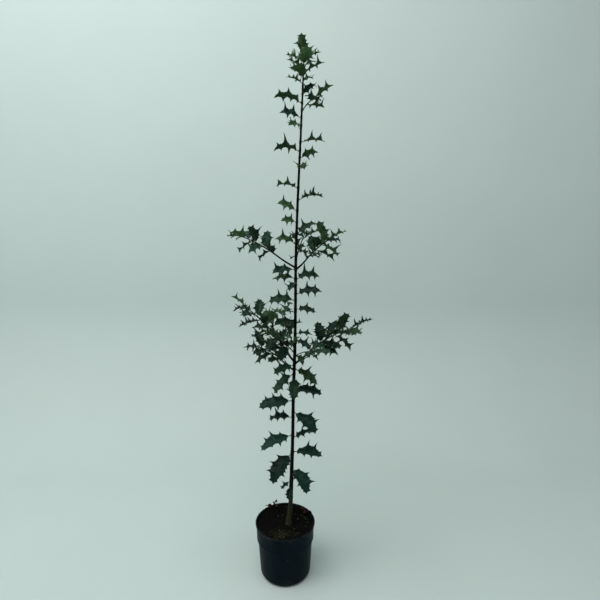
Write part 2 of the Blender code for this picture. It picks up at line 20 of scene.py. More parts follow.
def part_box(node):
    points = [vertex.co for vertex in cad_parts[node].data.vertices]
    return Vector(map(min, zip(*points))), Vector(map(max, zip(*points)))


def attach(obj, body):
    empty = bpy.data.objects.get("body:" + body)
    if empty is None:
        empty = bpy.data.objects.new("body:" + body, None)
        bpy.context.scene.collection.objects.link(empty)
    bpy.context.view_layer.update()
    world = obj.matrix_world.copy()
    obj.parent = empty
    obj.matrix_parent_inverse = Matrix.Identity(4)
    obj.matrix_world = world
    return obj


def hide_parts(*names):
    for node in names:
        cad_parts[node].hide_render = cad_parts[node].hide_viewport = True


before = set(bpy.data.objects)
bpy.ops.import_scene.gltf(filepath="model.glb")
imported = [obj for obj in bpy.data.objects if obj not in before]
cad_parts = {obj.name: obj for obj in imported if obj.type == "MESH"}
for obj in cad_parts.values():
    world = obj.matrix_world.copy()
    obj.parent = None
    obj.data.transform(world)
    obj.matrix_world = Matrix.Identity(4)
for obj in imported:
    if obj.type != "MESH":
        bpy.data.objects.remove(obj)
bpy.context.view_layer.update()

bl_info = {
    "name": "Potted holly",
    "version": (1, 0, 0),
    "blender": (4, 5, 0),
    "location": "View3D > Sidebar > Holly",
    "description": "Dresses a packed holly tree with bark, leaves, pot, compost and a studio",
    "category": "Object",
}

CM = 0.01
MM = 0.001
UP = Vector((0, 0, 1))
BACK = Vector((0, 1, 0))
UPRIGHT = 0.93
GAP = 0.0003
POT_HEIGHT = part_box("pot")[1].z
RIM_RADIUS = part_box("pot")[1].x
COMPOST_TOP = 0.123
WHITE = (1.0, 1.0, 1.0)
BLACK = (0.0, 0.0, 0.0)

# Node trees: what is set on a node itself, and the kind of socket for each kind of value
NODE_SETTINGS = {
    "attribute_name", "axis", "data_type", "feature", "interpolation_type", "node_tree",
    "noise_dimensions", "operation",
}
SOCKET_KINDS = {float: "Float", int: "Int", tuple: "Color"}

# Pot, as its solid has it
RIM_ROLL = 0.0032
COLLAR_HEIGHT = 0.039
COLLAR_FOOT_RADIUS = 0.0668
BODY_TOP_RADIUS = 0.0640
BODY_FOOT_RADIUS = 0.0590
BASE_RADIUS = 0.0530
BASE_ROUND = 0.007
BASE_DISH = 0.0009
WALL = 0.0012
FLOOR = 0.0022
DRAIN_HOLES = 8
DRAIN_RADIUS = 0.0048
DRAIN_CIRCLE = 0.0440
DRAIN_DEPTH = 0.0080
ARC_STEPS = 5
ARC_LIMIT = 0.48
SHARP_EDGE = 40
DRAIN_SIDES = 24
DRAIN_START = 0.25

# Compost and what lies on it, in metres and degrees
COMPOST_FLAT = 0.024
LUMP_HEIGHT = 0.0022
LUMP_WAVES = ((3, 1.1, 0.9), (5, 0.4, 0.7), (2, 2.3, 0.6))
LUMP_EASE = 0.02
COMPOST_RINGS = 34
COMPOST_SIDES = 128
RING_SPREAD = 0.8
SKIRT_DROP = 0.008
CLOD_SCALE = 210.0
CLOD_HEIGHT = 0.0011
CLOD_GRAIN = (0.9, 2.0, 4)
STREW_RADIUS = 0.0625
STREW_STEP = 0.0024
STREW_REACH = 26
TRUNK_CLEAR = 0.008
TRUNK_EASE = 0.004
CRUMB_TURNS = (6.28, 6.28, 6.28)
MOSS_PLACE = (-0.008, -0.039, 0.022, 0.015)
LITTER_ARCS = ((98, 142, 9), (30, 52, 5))
LITTER_RADII = (0.057, 0.067)
LITTER_LIFT = (0.007, 0.013)
LITTER_LENGTHS = (0.009, 0.018)
LITTER_RISES = (5, 55)
LITTER_ARCHES = (60, 150)
LITTER_ROLL = 60
LITTER_SWAY = 0.05
LITTER_TWIST = 80
LITTER_WIDTH = 0.3
LITTER_THICKNESS = 0.0004
LITTER_SEED = 23
WEED_PLACES = ((0.046, 0.026), (0.050, 0.018), (0.030, -0.038))
WEED_LEAVES = 6
WEED_LENGTHS = (0.003, 0.007)
WEED_SUNK = 0.0005
WEED_TURN = 15
WEED_RISES = (35, 75)
WEED_ARCHES = (30, 80)
WEED_WIDTH = 0.24
WEED_THICKNESS = 0.00035
WEED_SHADE = (0.010, 0.020, 0.008)
PLAIN_ROWS = 9
PLAIN_COLUMNS = (-1.0, -0.5, 0.0, 0.5, 1.0)
PLAIN_CUP = 0.35
PLAIN_ENDS = (0.02, 0.98)
PLAIN_BROADEST = 1.3

# Backdrop
FLOOR_RADIUS = 3.0
FLOOR_SIDES = 96
FADE = (1.65, 2.6)
SHEET_SIDE = 3.0
SHEET_FOOT = 0.0003
SHEET_BACK = 0.9
SHEET_TOP = 3.0
SWEEP = 0.5
SWEEP_STEPS = 16
SKY_COLOUR = (0.90, 0.97, 1.0)

# Lights: name, share of the overhead power, size, place and aim
LIGHTS = (
    ("overhead", 1.0, (2.2, 1.8), (-0.55, -0.55, 2.5), (-0.25, 0.3, 0.5)),
    ("left_fill", 0.26, (1.4, 1.8), (-2.0, -0.6, 1.5), (0, 0.2, 0.5)),
    ("right_fill", 0.15, (1.4, 1.8), (2.1, -0.8, 1.4), (-0.3, 0.2, 0.4)),
)

# Finishes: noise values between which tones change, and heights of bark and dust in metres
MOTTLE_RANGE = (0.3, 0.7)
SMEAR_RANGE = (0.45, 0.75)
DUSTY_FOOT = 0.03
DUSTY_RIM = 0.02
BARK_RISE = 1.04
BARK_STOPS = ((0.0, "foot"), (0.035, "foot"), (0.11, "stem"), (0.75, "stem"), (1.0, "shoot"))

# Trunk: height above the rim, x and y of its middle, in centimetres
TRUNK_LINE = (
    (-0.7, 0.78, 0.0), (5, 1.30, 0.1), (12, 1.55, 0.15), (22, 1.85, 0.0), (32, 2.02, -0.1),
    (42, 2.36, 0.1), (52, 2.52, 0.25), (62, 2.62, 0.1), (72, 2.95, -0.1), (82, 3.40, 0.0),
    (91, 3.82, 0.15), (97, 4.08, 0.1), (102, 4.20, 0.0), (106, 4.38, -0.1),
)
TRUNK_TOP = 96.4
TRUNK_RADII = (
    (-0.7, 0.80), (0.3, 0.64), (2, 0.57), (6, 0.49), (20, 0.385), (40, 0.34), (60, 0.30),
    (80, 0.25), (97, 0.19), (106, 0.10),
)
TRUNK_SIDES = 10
TRUNK_STEP = 4.0
FLARE_STEPS = (0.9, 2.4)

# Boughs
BOUGH_SIDES = 8
BOUGH_FLARE = 1.25
BOUGH_SAG = 0.004
SHOOT_RISE = 0.02
STEM_KNEE = 0.5

# Leaf blade, as shares of its own length
PETIOLE = 0.09
HALF_WIDTH = 0.33
BROADEST = 0.85
FULLNESS = 0.75
SINUS_DEPTH = 0.38
SPINE_SWEEP = 0.035
WAVE = 0.125
LARGE_WAVE = 0.055
FOLD = 0.26
LARGE_FOLD = 0.20
THICKNESS = 0.020
LEAST_THICKNESS = 0.0007
PETIOLE_HALF = 0.0008
LARGE_LEAF = 0.056

# Leaves borne on the trunk: height, heading, length in centimetres, rise, arch and roll in degrees
TRUNK_LEAVES = (
    (9.0, 262, 3.3, -30, 25, 0), (10.2, 205, 2.6, -25, 20, -10), (13.4, 310, 6.9, 5, 90, 6),
    (17.2, 228, 8.0, -10, 60, -6), (17.7, 352, 6.7, 9, 32, 12), (21.8, 203, 7.8, 0, 36, -12),
    (21.2, 18, 4.3, 20, 12, 14), (26.1, 174, 5.4, 6, 32, -20), (27.4, 320, 7.2, -4, 50, 8),
    (30.1, 190, 7.6, 4, 26, -24), (32.8, 12, 6.6, -4, 24, 24), (35.4, 272, 5.7, -12, 50, 0),
    (36.3, 196, 6.0, -32, 25, -22), (37.5, 346, 6.0, -20, 26, 18), (38.4, 214, 5.2, 6, 36, -16),
    (44.0, 330, 4.1, -4, 40, 18), (45.5, 14, 3.8, 8, 35, 12), (48.3, 200, 4.6, 10, 34, -36),
    (50.4, 214, 3.4, 18, 26, -10), (51.0, 352, 4.3, 6, 28, 28), (53.0, 186, 5.7, 12, 30, -36),
    (54.4, 347, 5.6, 24, 36, 36), (57.0, 250, 3.9, -4, 40, 0), (57.6, 8, 5.2, 34, 60, 28),
    (57.8, 174, 4.9, 12, 34, -32), (59.6, 196, 5.0, 12, 40, -30), (65.3, 178, 4.5, 34, 48, -38),
    (67.4, 15, 4.6, 38, 20, 34), (69.6, 216, 3.9, 26, 44, -44), (72.0, 188, 4.3, 40, 40, -44),
    (74.2, 4, 5.5, 36, 62, 0), (76.6, 184, 4.7, 34, 60, 12), (81.0, 286, 3.9, 12, 60, 18),
    (82.6, 338, 4.0, 32, 40, -30), (83.9, 176, 5.6, 36, 72, 16), (85.7, 6, 5.0, 22, 42, -6),
    (88.8, 232, 4.0, 14, 44, -34), (90.4, 190, 4.4, 30, 40, -48), (93.2, 174, 6.0, 42, 62, 18),
    (94.9, 40, 3.9, 50, 20, 24),
)


class Leaf(NamedTuple):
    """One leaf, by the foot of its stalk and how it is held. Lengths in metres, angles in degrees."""

    base: Vector
    heading: float
    rise: float
    arch: float
    roll: float
    length: float
    sway: float = 0.0    # how far the midrib bows to one side, as a share of the length
    twist: float = 0.0   # how far the blade turns about its midrib on its way, in degrees


class Spray(NamedTuple):
    """A mass of foliage on one stem. Points are (x, y, height above the rim) in centimetres."""

    name: str
    root: float          # height on the trunk
    elbow: tuple         # where the bare bough ends and the foliage starts, or None on the trunk
    tip: tuple
    radius: float        # of the stem at its foot, in centimetres
    leaves: int          # on the stem itself
    leaf_length: float   # centimetres
    twigs: int           # side twigs, with three leaves each
    turn: float          # of the first leaf round the stem, in degrees
    seed: int


SPRAYS = (
    Spray("upper_left", 60.2, (-1.6, 0.5, 62.7), (-9.0, 1.5, 66.6), 0.17, 10, 4.4, 0, 149, 9),
    Spray("upper_right", 59.9, (4.6, -0.5, 61.6), (9.6, -2.0, 66.2), 0.17, 11, 4.5, 0, 53, 15),
    Spray("upper_back", 61.8, None, (4.6, 9.0, 66.9), 0.15, 7, 3.8, 0, 197, 15),
    Spray("lower_left", 39.6, (0.6, -0.4, 41.6), (-7.9, -2.0, 51.8), 0.20, 13, 5.0, 1, 269, 10),
    Spray("lowest_left", 37.4, (-0.6, 1.0, 39.2), (-5.8, 3.2, 41.6), 0.17, 9, 4.6, 0, 197, 7),
    Spray("lower_right", 38.9, (5.2, 0.8, 40.9), (14.8, 1.6, 46.3), 0.20, 12, 5.5, 1, 53, 14),
    Spray("lower_back", 41.9, None, (-1.0, 11.4, 47.6), 0.17, 9, 4.6, 0, 173, 23),
    Spray("lower_front", 41.3, None, (-1.4, -6.4, 46.2), 0.14, 7, 4.3, 0, 341, 5),
    Spray("right_twig", 40.6, None, (6.2, -2.0, 42.0), 0.12, 5, 4.3, 0, 317, 17),
    Spray("right_spur", 91.8, None, (6.4, -0.8, 93.9), 0.11, 4, 4.3, 0, 77, 7),
    Spray("leader", TRUNK_TOP, None, (4.3, -0.1, 101.8), 0.16, 11, 4.5, 0, 5, 12),
)

# Small turns (heading, rise) that a leaf tries in order, to stand clear of the rest
NUDGES = (
    (0, 0), (9, 0), (-9, 0), (0, 9), (0, -9), (18, 0), (-18, 0), (0, 18), (0, -18),
    (18, 18), (-18, 18), (28, 0), (-28, 0), (28, -14), (-28, -14), (0, 30), (40, 10), (-40, 10),
)
CLEARANCE = GAP * 0.8

# How leaves are set on a stem: turns and angles in degrees, spreads as (low, high) factors
GOLDEN_TURN = 137.5
TURN_SPREAD = 14
ROLL_SPREAD = 26
LEAF_LEAN = 58
END_LEAF_LEAN = 16
LEAF_ARCH = 26
ARCH_SPREAD = (0.6, 1.6)
SIZE_SPREAD = (0.86, 1.1)
LOWEST_LEAF = -0.42
LEAF_LIFT = 0.06
SMALL_LEAVES = 2
SMALL_LEAF = 0.82
FIRST_LEAF = 0.08
LAST_LEAF = 0.985

# Stems and side twigs
TWIG_SIDES = 5
TWIG_TIP_RADIUS = 0.0009
TWIG_FOOT_RADIUS = 0.0012
STEM_STEPS = 7
TWIG_SHARE = 0.38
TWIG_LEAVES = 3
TWIG_LEAF = 0.9
TWIG_FORK = 0.8
TWIG_RISE = 0.25
TWIG_CURL = 0.004
FIRST_TWIG = 0.3
TWIG_SPACING = 0.2
TWIG_SEED = 31

# Fine blade: rows between two spines, and columns from the midrib to the edge
SPINE_ROWS = (0.0, 0.04, 0.12, 0.25, 0.42, 0.58, 0.75, 0.88, 0.96)
COLUMNS = (0.0, 0.08, 0.28, 0.52, 0.78, 0.94, 1.0)
SPINE_COUNTS = ((1.0, 2), (2.0, 3), (3.2, 4.0), (4.2, 4.8), (5.6, 6.0), (8.0, 8.0))
SINUS_DEPTHS = ((1.0, 0.40), (4.4, 0.42), (5.6, 0.40), (8.0, 0.30))
SPINE_WAVES = ((1.0, 0.11), (5.6, 0.11), (6.6, 0.075), (8.0, 0.05))
FINE_WIDTHS = ((1.0, 1.12), (4.4, 1.18), (5.6, 1.13), (8.0, 0.96))
LEAST_HALF = 0.00015
SHARPNESS = 2.5
CUP = 0.08
SKEW = 0.24
POINT = 0.7
POINT_REACH = 1.0
FULL_WIDTH = 0.15
SCALLOP = 0.55
SPINE_VARY = 0.24
LEAF_SPREAD = 0.7
VEIN_LEAN = 0.62
VEIN_CURVE = 1.1
PUFF = 0.0075
CHANNEL_DEPTH = 0.00028
CHANNEL_WIDTH = 0.0009
EDGE_THICKNESS = 0.35
LEAF_NUMBERS = 97
VEIN_FADE = 2.5
NET_SCALE = (5.0, 7.0, 1.0)
NET_SHARPNESS = 4.0
NET_HEIGHT = 0.35
EDGE_START = 0.975
SWAY = 0.028
TWIST = 14

# Young leaves at the tips, by the length of the largest in centimetres
TUFTS = {"leader": 6}
OTHER_TUFTS = 3
TUFT_LENGTHS = (1.0, 1.8)
TUFT_LEANS = (16, 46)
TUFT_ARCH = 20
TUFT_SEEDS = 50
TUFT_SEED = 7
TUFT_ROLL = 30

# Ages of leaves, oldest first, and which may stand below each height above the rim
AGES = ("mature", "deep", "olive", "young")
AGE_BANDS = (
    (34, ("mature",)), (64, ("mature", "deep", "deep", "olive")),
    (80, ("deep", "olive")), (97, ("deep", "olive", "olive")),
)
YOUNG_ABOVE = 97
OLD_TRUNK_LEAVES = (38, 40)
OLD_EVERY = 4
AGE_SEED = 17
SPRAY_SEEDS = 100
TIPS_ABOVE = 55
TIP_LEAVES = 2
TRUNK_PIECES = (
    (34, "leaves_trunk_low"), (64, "leaves_trunk_middle"), (120, "leaves_trunk_top"),
)

# Midribs, stalks and spines. Radii in millimetres by share of the leaf's length
RIB_FOOT = -0.02
RIB_TIP = 0.97
RIB_POINTS = 18
RIB_RADII = ((-0.02, 1.0), (0.03, 0.85), (0.09, 0.75), (0.5, 0.5), (0.97, 0.16))
RIB_PROUD = 0.00012
RIB_SIZES = (0.45, 1.15)
SPINE_LENGTH = 0.0022
SPINE_SLIM = 0.11
SPINE_BACK = 0.86
SPINE_SUNK = 0.25

# Fine bark: spacing of rings and nodes in centimetres, the rest in metres
TRUNK_RING = 0.18
TRUNK_SPARE = 0.4
NODE_WIDTH = 0.32
NODE_SWELL = 0.00035
SUNK = 0.004
FINE_STEPS = 40
COLLAR_FLARE = 1.3
BUD_LIFT = 0.0007
BUD_SIZE = 0.0016
END_BUD_SIZE = 0.0028
BUD_WIDTH = 0.55
BUD_SHARE = 0.02
BUD_LEAN = 0.6
BUD_TONES = ((0.040, 0.046, 0.016), (0.014, 0.010, 0.007))
TWIG_NODE_WIDTH = 1.1
TWIG_NODE_SWELL = 0.00028


# The plan of the plant, by the rule that its solids follow


def between(table, height):
    """The value at a height, straight between the rows (height, value) on either side of it."""
    for (low, a), (high, b) in zip(table, table[1:]):
        if height <= high:
            return a + (b - a) * (height - low) / (high - low)
    return table[-1][1]


def spline(points, share):
    """A point on a smooth curve through points, at a share of the way along them."""
    span = share * (len(points) - 1)
    i = min(int(span), len(points) - 2)
    t = span - i
    before = points[max(i - 1, 0)]
    after = points[min(i + 2, len(points) - 1)]
    a, b = points[i], points[i + 1]
    return 0.5 * (
        2 * a + (b - before) * t + (2 * before - 5 * a + 4 * b - after) * t * t
        + (3 * a - before - 3 * b + after) * t ** 3
    )


def trunk_point(height):
    """The middle of the trunk at a height above the rim."""
    heights = [row[0] for row in TRUNK_LINE]
    i = max(k for k, h in enumerate(heights[:-1]) if h <= height)
    share = (i + (height - heights[i]) / (heights[i + 1] - heights[i])) / (len(heights) - 1)
    x, y, _ = spline([Vector((row[1], row[2], row[0])) for row in TRUNK_LINE], share)
    return Vector((x * CM, y * CM, POT_HEIGHT + height * CM))


def trunk_radius(height):
    return between(TRUNK_RADII, height) * CM


def place(point):
    """A table's (x, y, height above the rim) in metres."""
    return Vector((point[0] * CM, point[1] * CM, POT_HEIGHT + point[2] * CM))


def cross_frame(direction):
    """Two directions square to this one, the first of them level on a limb that isn't upright."""
    reference = UP if abs(direction.z) < UPRIGHT else BACK
    side = direction.cross(reference).normalized()
    return side, side.cross(direction).normalized()


def tube(points, radii, sides, cut=None):
    """Points and faces of a closed tapering tube. A cut (point, normal) trims its foot aslant."""
    corners, faces = [], []
    side = cross_frame(points[1] - points[0])[0]
    for i, (middle, radius) in enumerate(zip(points, radii)):
        ahead = (points[min(i + 1, len(points) - 1)] - points[max(i - 1, 0)]).normalized()
        side = (side - ahead * side.dot(ahead)).normalized()
        other = side.cross(ahead)
        for k in range(sides):
            angle = math.tau * k / sides
            corner = middle + radius * (side * math.cos(angle) + other * math.sin(angle))
            if cut and i == 0:
                corner += ahead * ((cut[0] - corner).dot(cut[1]) / ahead.dot(cut[1]))
            corners.append(corner)
    for i in range(len(points) - 1):
        for k in range(sides):
            a, b = i * sides + k, i * sides + (k + 1) % sides
            faces.append((a, b, b + sides, a + sides))
    last = len(corners) - sides
    faces.append(tuple(range(sides)))
    faces.append(tuple(range(last, last + sides)))
    return corners, faces


def trunk_face(height, heading):
    """A point just clear of the trunk's skin on that side, and the way it faces."""
    outward = Vector((math.cos(heading), math.sin(heading), 0))
    skin = trunk_point(height) + outward * (trunk_radius(height) + GAP)
    return skin, outward


def along_leaf(leaf, share):
    """Middle, forward, side and upward directions at an array of shares of the leaf's length."""
    share = np.asarray(share, float)[..., None]
    heading, rise, arch = (math.radians(a) for a in (leaf.heading, leaf.rise, leaf.arch))
    roll = np.radians(leaf.roll + leaf.twist * (share - PETIOLE))
    level = np.array((math.cos(heading), math.sin(heading), 0.0))
    left = np.array((-level[1], level[0], 0.0))
    upward = np.array((0.0, 0.0, 1.0))
    pitch = rise - arch * share
    run = (math.sin(rise) - np.sin(pitch)) / arch
    lift = (np.cos(pitch) - math.cos(rise)) / arch
    bow = leaf.sway * np.sin(np.pi * np.clip(share, 0, 1))
    middle = np.array(leaf.base) + leaf.length * (level * run + upward * lift + left * bow)
    forward = level * np.cos(pitch) + upward * np.sin(pitch)
    above = upward * np.cos(pitch) - level * np.sin(pitch)
    side = left * np.cos(roll) + above * np.sin(roll)
    return middle, forward, side, above * np.cos(roll) - left * np.sin(roll)


class Edge(NamedTuple):
    """How fine the edge of a blade is cut; the plain one is that of the solids."""

    scallop: float = 1.0         # roundness of the bays between spines
    least: float = 0.0           # least half width
    depth: float = SINUS_DEPTH
    skew: float = 0.0            # sets the two edges' spines apart
    point: float = 0.0           # draws the tip in to its end spine
    sharp: float = 0.0           # keeps the wave to the spines themselves
    cup: float = 0.0             # lifts both edges further
    swing: float = None          # height of the wave as a share of the length


def blade(leaf, spines, u, across, edge=Edge()):
    """Points of the blade and their upward directions, for arrays u and across.

    u counts the spines on one edge: 0 at the first, spines at the leaf's tip, -0.5 at the
    blade's foot. across runs from -1 to 1. Spines turn up and down by turns, left against right.
    """
    u, across = np.broadcast_arrays(np.asarray(u, float), np.asarray(across, float))
    along = (u + 0.5) / (spines + 0.5)
    share = 1 - PETIOLE
    inside = (along > 0) & (along < 1)
    arc = np.sin(np.pi * np.clip(along, 1e-9, 1 - 1e-9) ** BROADEST)
    outline = np.where(inside, np.clip(arc, 0, None) ** FULLNESS, 0.0)
    outline = outline * (1 - np.clip((u - spines + POINT_REACH) / POINT_REACH, 0, 1)) ** edge.point
    sinus = np.abs(np.sin(np.pi * u)) ** edge.scallop
    half = HALF_WIDTH * share * outline * (1 - edge.depth * sinus)
    sweep = SPINE_SWEEP * (1 - sinus) * outline * np.abs(across)
    sweep = sweep + edge.skew * across * outline / (spines + 0.5)
    middle, _, side, above = along_leaf(leaf, np.minimum(PETIOLE + share * along + sweep, 1.0))
    swing, fold = (WAVE, FOLD) if leaf.length < LARGE_LEAF else (LARGE_WAVE, LARGE_FOLD)
    swing = swing if edge.swing is None else edge.swing
    turns = np.cos(np.pi * u)
    wave = swing * turns * np.abs(turns) ** edge.sharp * across * np.abs(across) * outline
    lift = (wave + (fold + edge.cup) * half * np.abs(across)) * leaf.length
    half = np.maximum(half * leaf.length + PETIOLE_HALF * (1 - np.minimum(along, 1.0)), edge.least)
    return middle + side * (half * across)[..., None] + above * lift[..., None], above, half


def spine_pairs(length):
    return 4 if length > LARGE_LEAF else 3


def leaf_probe(leaf, foot=None):
    """Points and triangles of the coarse solid leaf that finds out whether a place is free."""
    spines = spine_pairs(leaf.length)
    thick = max(THICKNESS * leaf.length, LEAST_THICKNESS)
    middle, forward, side, above = (Vector(a) for a in along_leaf(leaf, 0.0))
    points = [middle - side * PETIOLE_HALF, middle + above * PETIOLE_HALF,
              middle + side * PETIOLE_HALF, middle - above * PETIOLE_HALF]
    if foot:
        skin, outward = foot
        points = [p + forward * ((skin - p).dot(outward) / forward.dot(outward)) for p in points]
    steps = np.arange(2 * spines + 1) / 2 - 0.5
    rows, aboves, _ = blade(leaf, spines, steps[:, None], np.array((-1.0, 0.0, 1.0))[None])
    for row, lifts in zip(rows, aboves):
        left, rib, right = (Vector(p) for p in row)
        lift = Vector(lifts[1]) * (thick / 2)
        points += [left, rib + lift, right, rib - lift]
    faces = [(3, 2, 1, 0)]
    tip = len(points)
    for a in range(0, tip - 4, 4):
        b = a + 4
        left = (points[a] - points[b + 1]).length < (points[a + 1] - points[b]).length
        right = (points[a + 2] - points[b + 1]).length < (points[a + 1] - points[b + 2]).length
        for k, rising in enumerate((left, not right, right, not left)):
            n = (k + 1) % 4
            if rising:
                faces += [(a + k, a + n, b + n), (a + k, b + n, b + k)]
            else:
                faces += [(a + k, a + n, b + k), (a + n, b + n, b + k)]
    points.append(Vector(along_leaf(leaf, 1.0)[0]))
    faces += [(tip - 4 + k, tip - 4 + (k + 1) % 4, tip) for k in range(4)]
    return points, faces


class Crown:
    """What stands already, so that no leaf is set through a limb or another leaf."""

    def __init__(self, trees=()):
        self.trees = list(trees)

    def add(self, points, faces):
        self.trees.append(BVHTree.FromPolygons(points, faces))

    def clears(self, points, faces):
        """Whether a shape touches nothing that stands."""
        shape = BVHTree.FromPolygons(points, faces)
        return not any(
            tree.overlap(shape) or any(tree.find_nearest(p, CLEARANCE)[0] for p in points)
            for tree in self.trees
        )


def settle(leaf, others, own, foot=None):
    """The leaf at the first nudge that clears the others, with its probe, or None."""
    for turn, tilt in NUDGES:
        held = leaf._replace(heading=leaf.heading + turn, rise=leaf.rise + tilt)
        points, faces = leaf_probe(held, foot)
        blades = [tuple(k - 4 for k in face) for face in faces[1:] if min(face) >= 4]
        if others.clears(points, faces) and own.clears(points[4:], blades):
            return held, (points, faces)
    return None


def leaf_towards(base, direction, arch, roll, length):
    """A leaf whose stalk sets out in a direction."""
    heading = math.degrees(math.atan2(direction.y, direction.x))
    rise = math.degrees(math.asin(max(-1.0, min(1.0, direction.z))))
    return Leaf(base, heading, rise, arch, roll, length)


def stem_curve(start, heading, tip, steps=STEM_STEPS):
    """Points of a stem that sets out along heading and bends to its tip."""
    reach = (tip - start).length
    knee = start + heading.normalized() * reach * STEM_KNEE
    return [start.lerp(knee, t).lerp(knee.lerp(tip, t), t) for t in
            (k / steps for k in range(steps + 1))]


def point_on(line, share):
    span = share * (len(line) - 1)
    i = min(int(span), len(line) - 2)
    return line[i].lerp(line[i + 1], span - i), (line[i + 1] - line[i]).normalized()


def leaves_on(line, count, length, start_turn, chance):
    """Leaves set in a spiral along a stem, the last one carrying the stem on."""
    found = []
    for i in range(count):
        share = FIRST_LEAF + (1 - FIRST_LEAF) * i / max(count - 1, 1)
        base, ahead = point_on(line, min(share, LAST_LEAF))
        side, above = cross_frame(ahead)
        turn = math.radians(start_turn + GOLDEN_TURN * i + chance.uniform(-TURN_SPREAD, TURN_SPREAD))
        outward = side * math.cos(turn) + above * math.sin(turn)
        lean = math.radians(LEAF_LEAN if i < count - 1 else END_LEAF_LEAN)
        direction = ahead * math.cos(lean) + outward * math.sin(lean)
        direction.z = max(direction.z, LOWEST_LEAF) + LEAF_LIFT
        size = length * chance.uniform(*SIZE_SPREAD)
        if i < SMALL_LEAVES and count > 2 * SMALL_LEAVES:
            size *= SMALL_LEAF
        arch = LEAF_ARCH * chance.uniform(*ARCH_SPREAD)
        roll = chance.uniform(-ROLL_SPREAD, ROLL_SPREAD)
        found.append(leaf_towards(base, direction.normalized(), arch, roll, size))
    return found


def spray_lines(spray, steps=STEM_STEPS):
    """The bough's points, or None, then the stem's, its side twigs' and the way its foot faces."""
    tip = place(spray.tip)
    bough = None
    if spray.root >= TRUNK_TOP:
        start = trunk_point(spray.root)
        heading = trunk_point(spray.root + 1) - start
    elif spray.elbow is None:
        start = trunk_face(spray.root, heading_from_trunk(spray.root, tip))[0]
        heading = (tip - start) + UP * SHOOT_RISE
    else:
        start = place(spray.elbow)
        skin = trunk_face(spray.root, heading_from_trunk(spray.root, start))[0]
        sag = (start - skin) - UP * BOUGH_SAG
        coarse = stem_curve(skin, sag, start)
        bough = stem_curve(skin, sag, start, steps)
        heading = coarse[-1] - coarse[-2]
    stem = stem_curve(start, heading, tip, steps)
    coarse = stem_curve(start, heading, tip)
    chance = random.Random(spray.seed * TWIG_SEED)
    twigs = []
    for k in range(spray.twigs):
        foot, ahead = point_on(coarse, FIRST_TWIG + TWIG_SPACING * k)
        side, above = cross_frame(ahead)
        way = ahead + side * chance.choice((-TWIG_FORK, TWIG_FORK)) + above * TWIG_RISE
        end = foot + way.normalized() * (tip - start).length * TWIG_SHARE + UP * TWIG_CURL
        twigs.append(stem_curve(foot, way, end, steps))
    return bough, stem, twigs, heading.normalized()


def spray_leaves(spray):
    """Every leaf of a spray: its stem's first, then each side twig's."""
    chance = random.Random(spray.seed)
    _, stem, twigs, _ = spray_lines(spray)
    length = spray.leaf_length * CM
    found = leaves_on(stem, spray.leaves, length, spray.turn, chance)
    for twig in twigs:
        turn = chance.uniform(0, 360)
        found += leaves_on(twig, TWIG_LEAVES, length * TWIG_LEAF, turn, chance)
    return found


def tuft_leaves(spray):
    """Small young leaves that stand round a spray's tip."""
    chance = random.Random(spray.seed * TUFT_SEED)
    tip, ahead = point_on(spray_lines(spray)[1], 1.0)
    side, above = cross_frame(ahead)
    count = TUFTS.get(spray.name, OTHER_TUFTS)
    found = []
    for i in range(count):
        turn = math.radians(GOLDEN_TURN * i + chance.uniform(-TURN_SPREAD, TURN_SPREAD))
        lean = math.radians(chance.uniform(*TUFT_LEANS))
        way = ahead * math.cos(lean) + (side * math.cos(turn) + above * math.sin(turn)) * math.sin(lean)
        length = chance.uniform(*TUFT_LENGTHS) * CM
        roll = chance.uniform(-TUFT_ROLL, TUFT_ROLL)
        found.append(leaf_towards(tip, way.normalized(), TUFT_ARCH, roll, length))
    return found


def trunk_leaf(row):
    """A leaf borne on the trunk, and the face that its stalk's foot is cut to."""
    height, heading, length, rise, arch, roll = row
    skin, outward = trunk_face(height, math.radians(heading))
    return Leaf(skin, heading, rise, arch, roll, length * CM), (skin, outward)


def taper(count, foot, tip):
    return [foot + (tip - foot) * k / (count - 1) for k in range(count)]


def heading_from_trunk(height, towards):
    level = towards - trunk_point(height)
    return math.atan2(level.y, level.x)


def trunk_probe():
    foot = TRUNK_LINE[0][0]
    near = [foot, *(foot + step for step in FLARE_STEPS)]
    count = round((TRUNK_TOP - near[-1]) / TRUNK_STEP)
    heights = near + [near[-1] + (TRUNK_TOP - near[-1]) * (k + 1) / count for k in range(count)]
    points = [trunk_point(h) for h in heights]
    points[0] = Vector((points[0].x, points[0].y, COMPOST_TOP + GAP))
    return tube(points, [trunk_radius(h) for h in heights], TRUNK_SIDES, cut=(points[0], UP))


def bough_probe(spray):
    bough = spray_lines(spray)[0]
    cut = trunk_face(spray.root, heading_from_trunk(spray.root, bough[-1]))
    radii = taper(len(bough), spray.radius * CM * BOUGH_FLARE, spray.radius * CM)
    return tube(bough, radii, BOUGH_SIDES, cut)


def stem_probes(spray):
    """The stem of a spray, then its side twigs."""
    _, stem, twigs, heading = spray_lines(spray)
    if spray.elbow or spray.root >= TRUNK_TOP:
        cut = (stem[0] + heading * GAP, heading)
    else:
        cut = trunk_face(spray.root, heading_from_trunk(spray.root, stem[-1]))
    solids = [tube(stem, taper(len(stem), spray.radius * CM, TWIG_TIP_RADIUS), TWIG_SIDES, cut)]
    for twig in twigs:
        radii = taper(len(twig), TWIG_FOOT_RADIUS, TWIG_TIP_RADIUS)
        solids.append(tube(twig, radii, TWIG_SIDES))
    return solids


